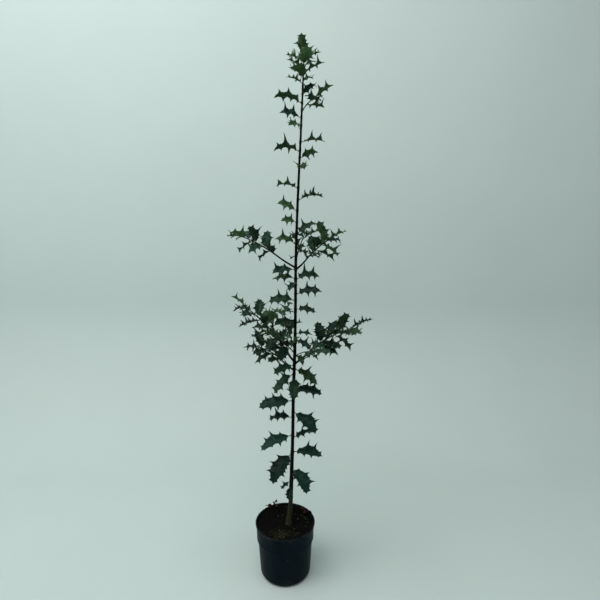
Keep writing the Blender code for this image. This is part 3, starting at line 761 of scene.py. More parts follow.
@functools.cache
def plan():
    """Every leaf as it is held: on the trunk by number, then leaves and tufts by spray."""
    crown = Crown()
    in_place = {}
    crown.add(*trunk_probe())
    for spray in SPRAYS:
        if spray.elbow:
            crown.add(*bough_probe(spray))
    stems = {spray.name: stem_probes(spray) for spray in SPRAYS}
    on_trunk, in_sprays = {}, {}
    others, own = Crown(crown.trees), Crown()
    for shapes in stems.values():
        for shape in shapes:
            others.add(*shape)
    for number, row in enumerate(TRUNK_LEAVES, start=1):
        leaf, foot = trunk_leaf(row)
        settled = settle(leaf, others, own, foot)
        if settled:
            on_trunk[number] = settled[0]
            others.add(*settled[1])
            crown.add(*settled[1])
    for spray in SPRAYS:
        others, own = Crown(crown.trees), Crown()
        for name, shapes in stems.items():
            for shape in shapes:
                (own if name == spray.name else others).add(*shape)
        held = in_sprays[spray.name] = []
        for leaf in spray_leaves(spray):
            settled = settle(leaf, others, own)
            if settled:
                own.add(*settled[1])
                held.append(settled[0])
        crown.trees += own.trees
        in_place[spray.name] = own.trees
    tufts = {}
    for spray in SPRAYS:
        own = Crown(in_place[spray.name])
        others = Crown(tree for tree in crown.trees if tree not in own.trees)
        settled = (settle(leaf, others, own) for leaf in tuft_leaves(spray))
        tufts[spray.name] = [found[0] for found in settled if found]
    return on_trunk, in_sprays, tufts


# Meshes from arrays, and node trees


def new_object(name, points, faces=(), edges=(), values=None, materials=(), smooth=False):
    """A mesh object from arrays of points and of faces or edges, with float values per point."""
    mesh = bpy.data.meshes.new(name)
    mesh.from_pydata(np.asarray(points, float).tolist(), np.asarray(edges, int).tolist(), faces)
    for key, array in (values or {}).items():
        array = np.asarray(array, np.float32)
        vector = array.ndim == 2
        layer = mesh.attributes.new(key, "FLOAT_VECTOR" if vector else "FLOAT", "POINT")
        layer.data.foreach_set("vector" if vector else "value", array.ravel())
    for material in materials:
        mesh.materials.append(material)
    if smooth:
        mesh.shade_smooth()
    obj = bpy.data.objects.new(name, mesh)
    bpy.context.scene.collection.objects.link(obj)
    return obj


def circle(radius, sides, start=0.0):
    """Points (x, y) round the Z axis; start is a share of one side."""
    turns = (math.tau * (k + start) / sides for k in range(sides))
    return [(radius * math.cos(turn), radius * math.sin(turn)) for turn in turns]


def ring_faces(rows, count, first=0):
    """Quads between rows of points that each close into a ring."""
    return [
        (a + k, a + count + k, a + count + (k + 1) % count, a + (k + 1) % count)
        for a in range(first, first + (rows - 1) * count, count) for k in range(count)
    ]


def closed_rings(rings):
    """Points and faces of a solid from an array of rings, closed at its first and last."""
    rows, count = rings.shape[:2]
    ends = [tuple(range(count)), tuple(range(rows * count - 1, (rows - 1) * count - 1, -1))]
    return rings.reshape(-1, 3), ring_faces(rows, count) + ends


def joined(name, shapes, materials, **made):
    """One smooth mesh of many (points, faces)."""
    points, faces, first = [], [], 0
    for corners, polygons in shapes:
        faces += [tuple(first + k for k in polygon) for polygon in polygons]
        points.append(corners)
        first += len(corners)
    return new_object(name, np.concatenate(points), faces, materials=materials, smooth=True, **made)


def keep_result(obj):
    """Puts the plain mesh that an object's modifiers make in place of them."""
    graph = bpy.context.evaluated_depsgraph_get()
    mesh = bpy.data.meshes.new_from_object(obj.evaluated_get(graph))
    obj.modifiers.clear()
    obj.data = mesh
    mesh.name = obj.name


def grow(obj, tree, **inputs):
    """Runs a Geometry Nodes tree on an object and keeps the mesh that it makes."""
    modifier = obj.modifiers.new(tree.name, "NODES")
    modifier.node_group = tree
    for item in tree.interface.items_tree:
        key = item.name.replace(" ", "_").lower()
        if item.item_type == "SOCKET" and item.in_out == "INPUT" and key in inputs:
            modifier[item.identifier] = inputs[key]
    keep_result(obj)
    return obj


def wear(obj, replaces=()):
    """Hands a finished piece to the frame."""
    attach(obj, "root")
    if replaces:
        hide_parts(*replaces)


def put(tree, node, inputs):
    """Sets a node's inputs, by place or by name, as values or as sockets to link from."""
    for key, value in inputs.items():
        socket = node.inputs[key]
        if isinstance(value, bpy.types.NodeSocket):
            tree.links.new(value, socket)
        else:
            socket.default_value = (*value, 1.0) if socket.type == "RGBA" else value


def add_node(tree, kind, *values, at=(), **named):
    """A new node, with its settings, and its inputs in order, by place or by name."""
    node = tree.nodes.new(kind)
    for key in sorted(NODE_SETTINGS & named.keys()):
        setattr(node, key, named.pop(key))
    inputs = {key.replace("_", " ").title(): value for key, value in named.items()}
    put(tree, node, {**dict(enumerate(values)), **dict(at), **inputs})
    return node


def add(tree, kind, *values, out=0, **named):
    """One output of a new node."""
    return add_node(tree, kind, *values, **named).outputs[out]


def calc(tree, operation, *values):
    return add(tree, "ShaderNodeMath", *values, operation=operation)


def stretched(tree, places, factors):
    return add(tree, "ShaderNodeVectorMath", places, factors, operation="MULTIPLY")


def scaled(tree, vector, factor):
    return add(tree, "ShaderNodeVectorMath", vector, scale=factor, operation="SCALE")


def combined(tree, x, y, z):
    return add(tree, "ShaderNodeCombineXYZ", x, y, z)


def mixed(tree, share, first, second):
    """A colour between two."""
    return add(tree, "ShaderNodeMix", share, at={6: first, 7: second}, data_type="RGBA", out=2)


def ranged(tree, value, low, high, **named):
    return add(tree, "ShaderNodeMapRange", value=value, from_min=low, from_max=high, **named)


def own_places(tree):
    return add(tree, "ShaderNodeTexCoord", out="Object")


def new_group(name, kind, inputs, outputs):
    """A node group and its ends. Inputs are {name: default or kind}, outputs {name: kind}."""
    tree = bpy.data.node_groups.new(name, kind)
    for key, default in inputs.items():
        form = default if isinstance(default, str) else SOCKET_KINDS[type(default)]
        socket = tree.interface.new_socket(key, in_out="INPUT", socket_type="NodeSocket" + form)
        if form != default:
            socket.default_value = (*default, 1.0) if form == "Color" else default
    for key, form in outputs.items():
        tree.interface.new_socket(key, in_out="OUTPUT", socket_type="NodeSocket" + form)
    return tree, tree.nodes.new("NodeGroupInput").outputs, tree.nodes.new("NodeGroupOutput")


# Geometry Nodes


def shape_group(name, **inputs):
    """A Geometry Nodes group that takes a mesh and a material and gives a mesh."""
    inputs = {key.replace("_", " ").title(): value for key, value in inputs.items()}
    return new_group(name, "GeometryNodeTree", {
        "Mesh": "Geometry", **inputs, "Material": "Material"}, {"Mesh": "Geometry"})


def named_value(tree, name, kind="FLOAT"):
    return add(tree, "GeometryNodeInputNamedAttribute", name, data_type=kind)


def roughened(tree, mesh, texture, *depths):
    """The mesh with its points moved in and out by a texture, as deep as all depths multiplied."""
    lift = calc(tree, "SUBTRACT", texture, 0.5)
    for depth in depths:
        lift = calc(tree, "MULTIPLY", lift, depth)
    offset = scaled(tree, add(tree, "GeometryNodeInputNormal"), lift)
    return add(tree, "GeometryNodeSetPosition", mesh, offset=offset)


def placed(tree, points, shape, rotation, scale):
    """A copy of the shape at each point, as real geometry."""
    copies = add(tree, "GeometryNodeInstanceOnPoints", points, instance=shape, rotation=rotation,
                 scale=scale)
    return add(tree, "GeometryNodeRealizeInstances", copies)


def finished(tree, out, mesh, material, smooth=True):
    """Ends a group with its shading and its material."""
    if smooth:
        mesh = add(tree, "GeometryNodeSetShadeSmooth", mesh, shade_smooth=True)
    put(tree, out, {"Mesh": add(tree, "GeometryNodeSetMaterial", mesh, material=material)})
    return tree


def limb_tree():
    """Lines with a thickness at each point become round limbs with wrinkled bark."""
    tree, given, out = shape_group(
        "holly_limb", sides=12, wrinkle=0.0001, wrinkle_scale=300.0, stretch=0.2)
    ring = add(tree, "GeometryNodeCurvePrimitiveCircle", given["Sides"], radius=1.0)
    curve = add(tree, "GeometryNodeMeshToCurve", given["Mesh"])
    limb = add(tree, "GeometryNodeCurveToMesh", curve, ring, scale=named_value(tree, "thick"),
               fill_caps=True)
    drawn = stretched(tree, add(tree, "GeometryNodeInputPosition"),
                      combined(tree, 1.0, 1.0, given["Stretch"]))
    bark = add(tree, "ShaderNodeTexNoise", drawn, scale=given["Wrinkle Scale"], detail=3.0)
    return finished(tree, out, roughened(tree, limb, bark, given["Wrinkle"]), given["Material"])


def aimed_tree(name, shape):
    """Points with an aim and a size each get a small shape that stands along the aim."""
    tree, given, out = shape_group(name, width=0.0003)
    turned = add(tree, "FunctionNodeAlignRotationToVector", axis="Z",
                 vector=named_value(tree, "aim", "FLOAT_VECTOR"))
    size = named_value(tree, "size")
    wide = calc(tree, "MULTIPLY", size, given["Width"])
    shapes = placed(tree, given["Mesh"], shape(tree), turned, combined(tree, wide, wide, size))
    return finished(tree, out, shapes, given["Material"])


def needle(tree):
    """A unit cone that stands on its point's place."""
    return add(tree, "GeometryNodeMeshCone", vertices=6, side_segments=2, radius_top=0.05,
               radius_bottom=1.0, depth=1.0)


def bud(tree):
    """A unit ball, lifted to sit on its point's place."""
    ball = add(tree, "GeometryNodeMeshIcoSphere", radius=0.5, subdivisions=2)
    return add(tree, "GeometryNodeTransform", ball, translation=(0.0, 0.0, 0.35))


def crumb_tree():
    """Rough crumbs strewn over a surface, each turned and sized by chance."""
    tree, given, out = shape_group(
        "holly_crumbs", density=50000.0, least=0.0005, most=0.002, flatness=0.7, roughness=0.4, seed=1)
    seed, most = given["Seed"], given["Most"]
    density = calc(tree, "MULTIPLY", given["Density"], named_value(tree, "share"))
    spots = add(tree, "GeometryNodeDistributePointsOnFaces", given["Mesh"], density=density, seed=seed)
    ball = add(tree, "GeometryNodeMeshIcoSphere", radius=1.0, subdivisions=1)
    turn = add(tree, "FunctionNodeRandomValue", seed=seed, min=(0.0, 0.0, 0.0), max=CRUMB_TURNS,
               data_type="FLOAT_VECTOR")
    size = add(tree, "FunctionNodeRandomValue", at={2: given["Least"], 3: most}, seed=seed,
               data_type="FLOAT", out=1)
    low = calc(tree, "MULTIPLY", size, given["Flatness"])
    crumbs = placed(tree, spots, ball, add(tree, "FunctionNodeEulerToRotation", turn),
                    combined(tree, size, low, low))
    rough = add(tree, "ShaderNodeTexNoise", scale=700.0, detail=2.0)
    crumbs = roughened(tree, crumbs, rough, given["Roughness"], most)
    return finished(tree, out, crumbs, given["Material"], smooth=False)


# Shared effects and finishes


@functools.cache
def mottle_group():
    """Two tones broken up by soft noise, with a roughness and a height that follow it."""
    tree, given, out = new_group("holly_mottle", "ShaderNodeTree", {
        "Light Tone": WHITE, "Dark Tone": BLACK, "Scale": 50.0, "Stretch": 1.0,
        "Low Roughness": 0.4, "High Roughness": 0.6,
    }, {"Color": "Color", "Roughness": "Float", "Height": "Float"})
    drawn = stretched(tree, own_places(tree), combined(tree, 1.0, 1.0, given["Stretch"]))
    cloud = add(tree, "ShaderNodeTexNoise", drawn, scale=given["Scale"], detail=4.0, roughness=0.6)
    low, high = MOTTLE_RANGE
    put(tree, out, {
        "Color": mixed(tree, ranged(tree, cloud, low, high), given["Dark Tone"], given["Light Tone"]),
        "Roughness": ranged(tree, cloud, low, high, to_min=given["Low Roughness"],
                            to_max=given["High Roughness"]),
        "Height": cloud})
    return tree


@functools.cache
def speck_group():
    """Small scattered specks laid over a colour: dust, grit or lenticels."""
    tree, given, out = new_group("holly_specks", "ShaderNodeTree", {
        "Color": BLACK, "Speck Color": WHITE, "Scale": 200.0, "Size": 0.2, "Share": 0.1,
    }, {"Color": "Color"})
    cells = add_node(tree, "ShaderNodeTexVoronoi", own_places(tree), scale=given["Scale"]).outputs
    near = calc(tree, "LESS_THAN", cells["Distance"], given["Size"])
    chance = add(tree, "ShaderNodeSeparateColor", cells["Color"])
    mask = calc(tree, "MULTIPLY", near, calc(tree, "LESS_THAN", chance, given["Share"]))
    put(tree, out, {"Color": mixed(tree, mask, given["Color"], given["Speck Color"])})
    return tree


@functools.cache
def vein_group():
    """Side veins that leave the midrib for each spine, and the pale edge, from a leaf's own place.

    Blade holds that place: spines counted along it in X, -1 to 1 across it in Y, and in Z the
    leaf's number, by which one leaf is lighter than another.
    """
    tree, given, out = new_group("holly_veins", "ShaderNodeTree", {
        "Color": BLACK, "Vein Color": WHITE, "Edge Color": WHITE, "Vein Width": 0.07,
        "Vein Strength": 0.3, "Edge Strength": 0.6,
    }, {"Color": "Color", "Height": "Float"})
    calculate = functools.partial(calc, tree)
    spot = add(tree, "ShaderNodeAttribute", attribute_name="blade", out="Vector")
    along, side, number = add_node(tree, "ShaderNodeSeparateXYZ", spot).outputs
    across = calculate("ABSOLUTE", side)
    inward = calculate("SUBTRACT", 1.0, across)
    curve = calculate("POWER", calculate("MAXIMUM", inward, 0.0), VEIN_CURVE)
    count = calculate("ADD", along, calculate("MULTIPLY", curve, VEIN_LEAN))
    off = calculate("ABSOLUTE", calculate("SUBTRACT", count, calculate("ROUND", count)))
    share = calculate("MINIMUM", calculate("DIVIDE", off, given["Vein Width"]), 1.0)
    near_rib = calculate("MINIMUM", calculate("MULTIPLY", inward, VEIN_FADE), 1.0)
    vein = calculate("MULTIPLY", calculate("SUBTRACT", 1.0, share), near_rib)
    net = add(tree, "ShaderNodeTexVoronoi", stretched(tree, spot, NET_SCALE), scale=1.0,
              feature="DISTANCE_TO_EDGE")
    mesh_lines = calculate("MINIMUM", calculate("MULTIPLY", net, NET_SHARPNESS), 1.0)
    chance = add(tree, "ShaderNodeTexWhiteNoise", w=number, noise_dimensions="1D")
    bright = calculate("ADD", calculate("MULTIPLY", chance, LEAF_SPREAD), 1 - LEAF_SPREAD / 2)
    veined = mixed(tree, calculate("MULTIPLY", vein, given["Vein Strength"]),
                   scaled(tree, given["Color"], bright), given["Vein Color"])
    rim = calculate("MULTIPLY", calculate("GREATER_THAN", across, EDGE_START), given["Edge Strength"])
    put(tree, out, {
        "Color": mixed(tree, rim, veined, given["Edge Color"]),
        "Height": calculate("SUBTRACT", calculate("MULTIPLY", mesh_lines, NET_HEIGHT), vein)})
    return tree


def new_material(name, shine):
    """An empty finish, its node tree and its shader, with the strength of its mirror light."""
    material = bpy.data.materials.new(name)
    material.use_nodes = True
    shader = material.node_tree.nodes["Principled BSDF"]
    shader.inputs["Specular IOR Level"].default_value = shine
    return material, material.node_tree, shader


def effect(tree, group, **inputs):
    """The outputs of a shared effect placed in a finish."""
    return add_node(tree, "ShaderNodeGroup", node_tree=group, **inputs).outputs


def mottled(tree, light, dark, scale, rough, stretch=1.0):
    return effect(tree, mottle_group(), light_tone=light, dark_tone=dark, scale=scale,
                  stretch=stretch, low_roughness=rough[0], high_roughness=rough[1])


def dress(tree, shader, colour, roughness, height=None, strength=0.0, distance=0.0):
    """Feeds a finish's colour and roughness to its shader, and a relief from its height."""
    put(tree, shader, {"Base Color": colour, "Roughness": roughness})
    if height:
        normal = add(tree, "ShaderNodeBump", strength=strength, distance=distance, height=height)
        put(tree, shader, {"Normal": normal})


def shade(colour, factor):
    return tuple(c * factor for c in colour)


def leaf_material(name, colour, settings, back=False):
    """Waxy dark face, or matt paler back, with veins and a pale edge."""
    material, tree, shader = new_material(name, 0.05 if back else 0.08)
    rough = (0.42, 0.6) if back else (settings.gloss, settings.gloss + 0.12)
    tone = mottled(tree, shade(colour, 1.3), shade(colour, 0.72), 95.0, rough)
    veins = effect(tree, vein_group(), color=tone["Color"], edge_color=settings.edge_colour,
                   vein_color=shade(settings.rib_colour, 0.7 if back else 0.45),
                   vein_strength=0.30 if back else 0.16, edge_strength=0.55)
    depth = 0.5 if back else 0.3
    dress(tree, shader, veins["Color"], tone["Roughness"], veins["Height"], depth, 0.0003)
    if not back:
        put(tree, shader, {"Coat Weight": 0.01, "Coat Roughness": 0.18})
    return material


def toned_material(name, light, dark, scale, rough=(0.5, 0.7), stretch=1.0, relief=0.0, shine=0.06):
    """A plain finish of two close tones with a grain."""
    material, tree, shader = new_material(name, shine)
    tone = mottled(tree, light, dark, scale, rough, stretch)
    height = tone["Height"] if relief else None
    dress(tree, shader, tone["Color"], tone["Roughness"], height, 0.6, relief)
    return material


def bark_material(settings):
    """Olive bark at the foot, nearly black purple-brown above it, greener again to the tip."""
    material, tree, shader = new_material("holly_bark", 0.03)
    height = add(tree, "ShaderNodeSeparateXYZ", own_places(tree), out="Z")
    rise = ranged(tree, height, COMPOST_TOP, POT_HEIGHT + BARK_RISE)
    ramp = add_node(tree, "ShaderNodeValToRGB", rise)
    elements = ramp.color_ramp.elements
    while len(elements) < len(BARK_STOPS):
        elements.new(0.5)
    for element, (spot, part) in zip(elements, BARK_STOPS):
        element.position = spot
        element.color = (*getattr(settings, f"{part}_colour"), 1.0)
    light = ramp.outputs["Color"]
    tone = mottled(tree, light, mixed(tree, 0.55, light, BLACK), 260.0, (0.42, 0.68), 0.22)
    specks = effect(tree, speck_group(), color=tone["Color"], speck_color=settings.lenticel_colour,
                    scale=420.0, size=0.24, share=0.14)
    dress(tree, shader, specks["Color"], tone["Roughness"], tone["Height"], 0.5, 0.0002)
    return material


def pot_material(settings):
    """Dark blue-black moulded plastic, dusty near the rim and the floor, with a few pale specks."""
    material, tree, shader = new_material("pot_plastic_dusty", 0.03)
    places = own_places(tree)
    height = add(tree, "ShaderNodeSeparateXYZ", places, out="Z")
    tone = mottled(tree, shade(settings.colour, 1.3), shade(settings.colour, 0.75), 38.0,
                   (settings.gloss, settings.gloss + 0.16), 0.5)
    smears = add(tree, "ShaderNodeTexNoise", places, scale=60.0, detail=6.0, roughness=0.7)
    ends = calc(tree, "MAXIMUM", ranged(tree, height, DUSTY_FOOT, 0.0),
                ranged(tree, height, POT_HEIGHT - DUSTY_RIM, POT_HEIGHT))
    dust = calc(tree, "MULTIPLY", ends, ranged(tree, smears, *SMEAR_RANGE))
    dusty = mixed(tree, calc(tree, "MULTIPLY", dust, settings.dust), tone["Color"], settings.dust_colour)
    specks = effect(tree, speck_group(), color=dusty, speck_color=settings.dust_colour,
                    scale=150.0, size=0.13, share=0.03)
    dress(tree, shader, specks["Color"], tone["Roughness"], smears, 0.15, 0.0003)
    return material


# Settings that a user would change


def tint(name, about, default):
    """A colour that a user may change."""
    return FloatVectorProperty(
        name=name, description=about, subtype="COLOR", min=0, max=1, default=default)


class LeafSettings(bpy.types.PropertyGroup):
    """Colours and gloss of the leaves, by age."""

    mature_face: tint(
        "Mature face", "Upper face of the old leaves low on the trunk", (0.0055, 0.0235, 0.017))
    mature_back: tint("Mature back", "Underside of the old leaves", (0.016, 0.038, 0.021))
    deep_face: tint(
        "Deep green face", "Upper face of the leaves of the middle boughs", (0.013, 0.039, 0.0225))
    deep_back: tint(
        "Deep green back", "Underside of the leaves of the middle boughs", (0.024, 0.051, 0.0245))
    olive_face: tint("Olive face", "Upper face of this summer's leaves", (0.023, 0.057, 0.0235))
    olive_back: tint("Olive back", "Underside of this summer's leaves", (0.038, 0.079, 0.031))
    young_face: tint(
        "Young face", "Upper face of the newest leaves at the tips", (0.048, 0.110, 0.046))
    young_back: tint("Young back", "Underside of the newest leaves", (0.062, 0.125, 0.050))
    rib_colour: tint("Rib", "Midribs, stalks and veins", (0.070, 0.105, 0.038))
    edge_colour: tint("Edge", "Thin pale edge of the blade", (0.060, 0.085, 0.036))
    spine_colour: tint("Spine", "Horny tips of the spines", (0.160, 0.150, 0.075))
    gloss: FloatProperty(
        name="Roughness", description="Least roughness of the waxy upper face",
        subtype="FACTOR", min=0, max=1, default=0.24)
    thickness: FloatProperty(
        name="Thickness", description="Thickness of the blade",
        subtype="DISTANCE", unit="LENGTH", min=0.0002, max=0.002, default=0.00045)


class BarkSettings(bpy.types.PropertyGroup):
    """Colours and relief of the trunk, boughs and twigs."""

    foot_colour: tint("Foot", "Pale olive bark at the foot of the trunk", (0.048, 0.046, 0.024))
    stem_colour: tint("Stem", "Dark bark of the trunk and boughs", (0.007, 0.006, 0.006))
    shoot_colour: tint("Shoot", "Greenish bark at the top of the leader", (0.020, 0.024, 0.010))
    lenticel_colour: tint("Lenticels", "Small pale corky dots", (0.045, 0.040, 0.028))
    wrinkle: FloatProperty(
        name="Wrinkle", description="Depth of the bark's relief on the trunk",
        subtype="DISTANCE", unit="LENGTH", min=0, max=0.002, default=0.0006)
    sides: IntProperty(
        name="Sides", description="Faces round the trunk", min=8, max=48, default=24)


class PotSettings(bpy.types.PropertyGroup):
    """Colour and wear of the pot."""

    colour: tint("Plastic", "Moulded plastic of the pot", (0.0028, 0.0078, 0.0115))
    dust_colour: tint("Dust", "Dried compost and lime on the plastic", (0.200, 0.190, 0.165))
    dust: FloatProperty(
        name="Dustiness", description="How much dust lies near the rim and the floor",
        subtype="FACTOR", min=0, max=1, default=0.12)
    gloss: FloatProperty(
        name="Roughness", description="Least roughness of the plastic",
        subtype="FACTOR", min=0, max=1, default=0.32)
    sides: IntProperty(
        name="Sides", description="Faces round the pot", min=32, max=256, default=128)


class CompostSettings(bpy.types.PropertyGroup):
    """Colours and litter of the compost."""

    light: tint("Dry", "Lighter tone of the compost", (0.0085, 0.0085, 0.0075))
    dark: tint("Damp", "Darker tone of the compost", (0.0012, 0.0014, 0.0014))
    chip: tint("Chips", "Bark chips and fibres", (0.026, 0.018, 0.012))
    grit: tint("Grit", "Pale grains in the compost", (0.480, 0.460, 0.420))
    moss: tint("Moss", "Moss at the front", (0.075, 0.085, 0.025))
    litter: tint("Dead leaves", "Dry curled leaves at the back", (0.036, 0.016, 0.014))
    weed: tint("Weeds", "Small soft weeds", (0.022, 0.042, 0.014))
    crumbs: FloatProperty(
        name="Crumbs", description="Crumbs on each square metre of compost",
        min=0, default=170000.0)


class StageSettings(bpy.types.PropertyGroup):
    """Camera, floor and light."""

    floor: tint("Floor", "Floor and backdrop", (0.505, 0.592, 0.565))
    room: tint("Room", "Pale tone seen past the edge of the floor", (0.47, 0.56, 0.53))
    camera: FloatVectorProperty(
        name="Camera", description="Place of the camera",
        subtype="TRANSLATION", unit="LENGTH", default=(0.035, -0.959, 0.832))
    tilt: FloatProperty(
        name="Tilt", description="How far the camera looks down",
        subtype="ANGLE", unit="ROTATION", default=math.radians(10.133))
    lens: FloatProperty(
        name="Lens", description="Focal length on a 36 mm sensor, in millimetres",
        min=1, default=27.06)
    overhead: FloatProperty(
        name="Overhead light", description="Power of the large light above, in watts",
        min=0, default=48.0)
    sky: FloatProperty(
        name="Room light", description="Strength of the even light of the room",
        min=0, default=0.22)


class HollySettings(bpy.types.PropertyGroup):
    """Everything that can be changed, in one place."""

    leaves: PointerProperty(type=LeafSettings, name="Leaves", description="Leaves")
    bark: PointerProperty(type=BarkSettings, name="Bark", description="Bark")
    pot: PointerProperty(type=PotSettings, name="Pot", description="Pot")
    compost: PointerProperty(type=CompostSettings, name="Compost", description="Compost")
    stage: PointerProperty(type=StageSettings, name="Stage", description="Stage")


# Bark and twigs


def limb_lines(name, limbs):
    """Lines of points, each limb a pair (points, radii), as one mesh of edges."""
    points, edges, thick = [], [], []
    for line, radii in limbs:
        first = len(points)
        points += line
        edges += [(first + k, first + k + 1) for k in range(len(line) - 1)]
        thick += radii
    return new_object(name, points, edges=edges, values={"thick": thick})


def swollen(heights, radii, nodes, width, extra):
    """Radii with a soft swelling round each node."""
    return [
        radius + sum(extra * math.exp(-((height - node) / width) ** 2) for node in nodes)
        for height, radius in zip(heights, radii)
    ]


def trunk_limb():
    """The trunk from just under the compost to just past the leader's foot."""
    count = round((TRUNK_TOP - TRUNK_LINE[0][0] + TRUNK_SPARE) / TRUNK_RING)
    heights = [TRUNK_LINE[0][0] + TRUNK_RING * k for k in range(count + 1)]
    nodes = [row[0] for row in TRUNK_LEAVES] + [spray.root for spray in SPRAYS]
    radii = swollen(heights, [trunk_radius(h) for h in heights], nodes, NODE_WIDTH, NODE_SWELL)
    points = [trunk_point(h) for h in heights]
    return [points[0] - UP * SUNK] + points, [radii[0]] + radii


def leaf_shares(line, leaves):
    """Where along a stem its leaves sit, as numbers of the nearest points."""
    return [min(range(len(line)), key=lambda k: (line[k] - leaf.base).length) for leaf in leaves]


def spray_limbs(spray, leaves):
    """The bough as a limb or None, then the stem and its side twigs as limbs."""
    bough, stem, twigs, _ = spray_lines(spray, FINE_STEPS)
    limb = None
    if bough:
        radii = taper(len(bough), spray.radius * CM * BOUGH_FLARE, spray.radius * CM)
        foot = bough[0] - (bough[1] - bough[0]).normalized() * trunk_radius(spray.root)
        limb = [foot] + bough, [radii[0] * COLLAR_FLARE] + radii
    elif spray.root < TRUNK_TOP:
        foot = stem[0] - (stem[1] - stem[0]).normalized() * trunk_radius(spray.root)
        stem = [foot] + stem
    limbs = []
    for line, radius in [(stem, spray.radius * CM)] + [(twig, TWIG_FOOT_RADIUS) for twig in twigs]:
        radii = taper(len(line), radius, TWIG_TIP_RADIUS)
        nodes = leaf_shares(line, leaves)
        radii = swollen(range(len(line)), radii, nodes, TWIG_NODE_WIDTH, TWIG_NODE_SWELL)
        limbs.append((line, radii))
    return limb, limbs


# Leaves


def leaf_rows(spines):
    """Where the blade has a row of points, counted in spines along its edge."""
    foot = [-0.5] + [row - 1 for row in SPINE_ROWS if row > 0.5]
    return np.array(foot + [k + row for k in range(spines) for row in SPINE_ROWS] + [spines])


def fine_spines(length):
    return round(between(SPINE_COUNTS, length / CM))


def held_out(leaf, seed):
    """The leaf with a slight bow and twist of its own."""
    chance = random.Random(seed)
    return leaf._replace(sway=chance.uniform(-SWAY, SWAY), twist=chance.uniform(-TWIST, TWIST))


def spine_sizes(spines, seed):
    """How much longer or shorter each spine is than the rule, left edge and right edge."""
    return np.random.default_rng(seed).uniform(-SPINE_VARY, SPINE_VARY, (2, spines + 3))


def fine_blade(leaf, seed, u, v):
    """Points, upward directions and half widths of the detailed blade at u and v."""
    spines = fine_spines(leaf.length)
    sizes = spine_sizes(spines, seed)
    knots = np.arange(-1, spines + 2)
    u, v = np.broadcast_arrays(np.asarray(u, float), np.asarray(v, float))
    vary = np.where(v < 0, np.interp(u, knots, sizes[0]), np.interp(u, knots, sizes[1]))
    reach = v * between(FINE_WIDTHS, leaf.length / CM) * (1 + vary * np.abs(v) ** 3)
    depth, swing = (between(table, leaf.length / CM) for table in (SINUS_DEPTHS, SPINE_WAVES))
    skew = SKEW if seed % 2 else -SKEW
    edge = Edge(SCALLOP, LEAST_HALF, depth, skew, POINT, SHARPNESS, CUP, swing)
    return blade(leaf, spines, u, reach, edge)


def leaf_mesh(leaf, seed, thickness):
    """Points, faces, back faces and shader places of one closed leaf blade."""
    u = leaf_rows(fine_spines(leaf.length))[:, None]
    v = np.array([-c for c in COLUMNS[:0:-1]] + list(COLUMNS))[None]
    middle, above, half = fine_blade(leaf, seed, u, v)
    inward = 1 - np.abs(v)
    ripple = np.sin(np.pi * (u + VEIN_LEAN * inward ** VEIN_CURVE)) ** 2
    full = np.clip(half / (leaf.length * FULL_WIDTH), 0, 1)
    puff = PUFF * leaf.length * ripple * 4 * np.abs(v) * inward * full
    thick = thickness / 2 * np.sqrt(1 - np.abs(v) ** 6) * (EDGE_THICKNESS + (1 - EDGE_THICKNESS) * full)
    channel = CHANNEL_DEPTH * np.exp(-(v * half / CHANNEL_WIDTH) ** 2) * full
    top = middle + above * (puff + thick - channel)[..., None]
    bottom = (middle + above * (puff - thick)[..., None])[:, -2:0:-1]
    points, faces = closed_rings(np.concatenate((top, bottom), axis=1))
    across = np.concatenate((v[0], v[0, -2:0:-1]))
    spots = np.stack(np.broadcast_arrays(u, across[None], seed % LEAF_NUMBERS), axis=-1)
    backs = [k >= v.size - 1 for _ in range(u.size - 1) for k in range(across.size)]
    return points, faces, backs + [True, True], spots.reshape(-1, 3)


def leaf_age(leaf, chance, tip):
    """The age of a leaf, older down the trunk and younger at the tips."""
    height = (leaf.base.z - POT_HEIGHT) / CM
    if tip or height > YOUNG_ABOVE:
        return "young"
    for top, choice in AGE_BANDS:
        if height < top:
            return chance.choice(choice)
    return "olive"


def leaf_materials(settings):
    """Face and back finishes for each age, in the order of AGES."""
    return [
        leaf_material(f"holly_leaf_{age}{end}", getattr(settings, f"{age}_{side}"), settings, bool(end))
        for age in AGES for side, end in (("face", ""), ("back", "_back"))
    ]


def leaf_piece(name, leaves, materials, thickness):
    """One mesh of many leaves. Leaves are (leaf, seed, age)."""
    shapes, spots, kinds = [], [], []
    for leaf, seed, age in leaves:
        corners, polygons, backs, places = leaf_mesh(leaf, seed, thickness)
        shapes.append((corners, polygons))
        spots.append(places)
        kinds += [2 * AGES.index(age) + back for back in backs]
    obj = joined(name, shapes, materials, values={"blade": np.concatenate(spots)})
    obj.data.polygons.foreach_set("material_index", kinds)
    return obj


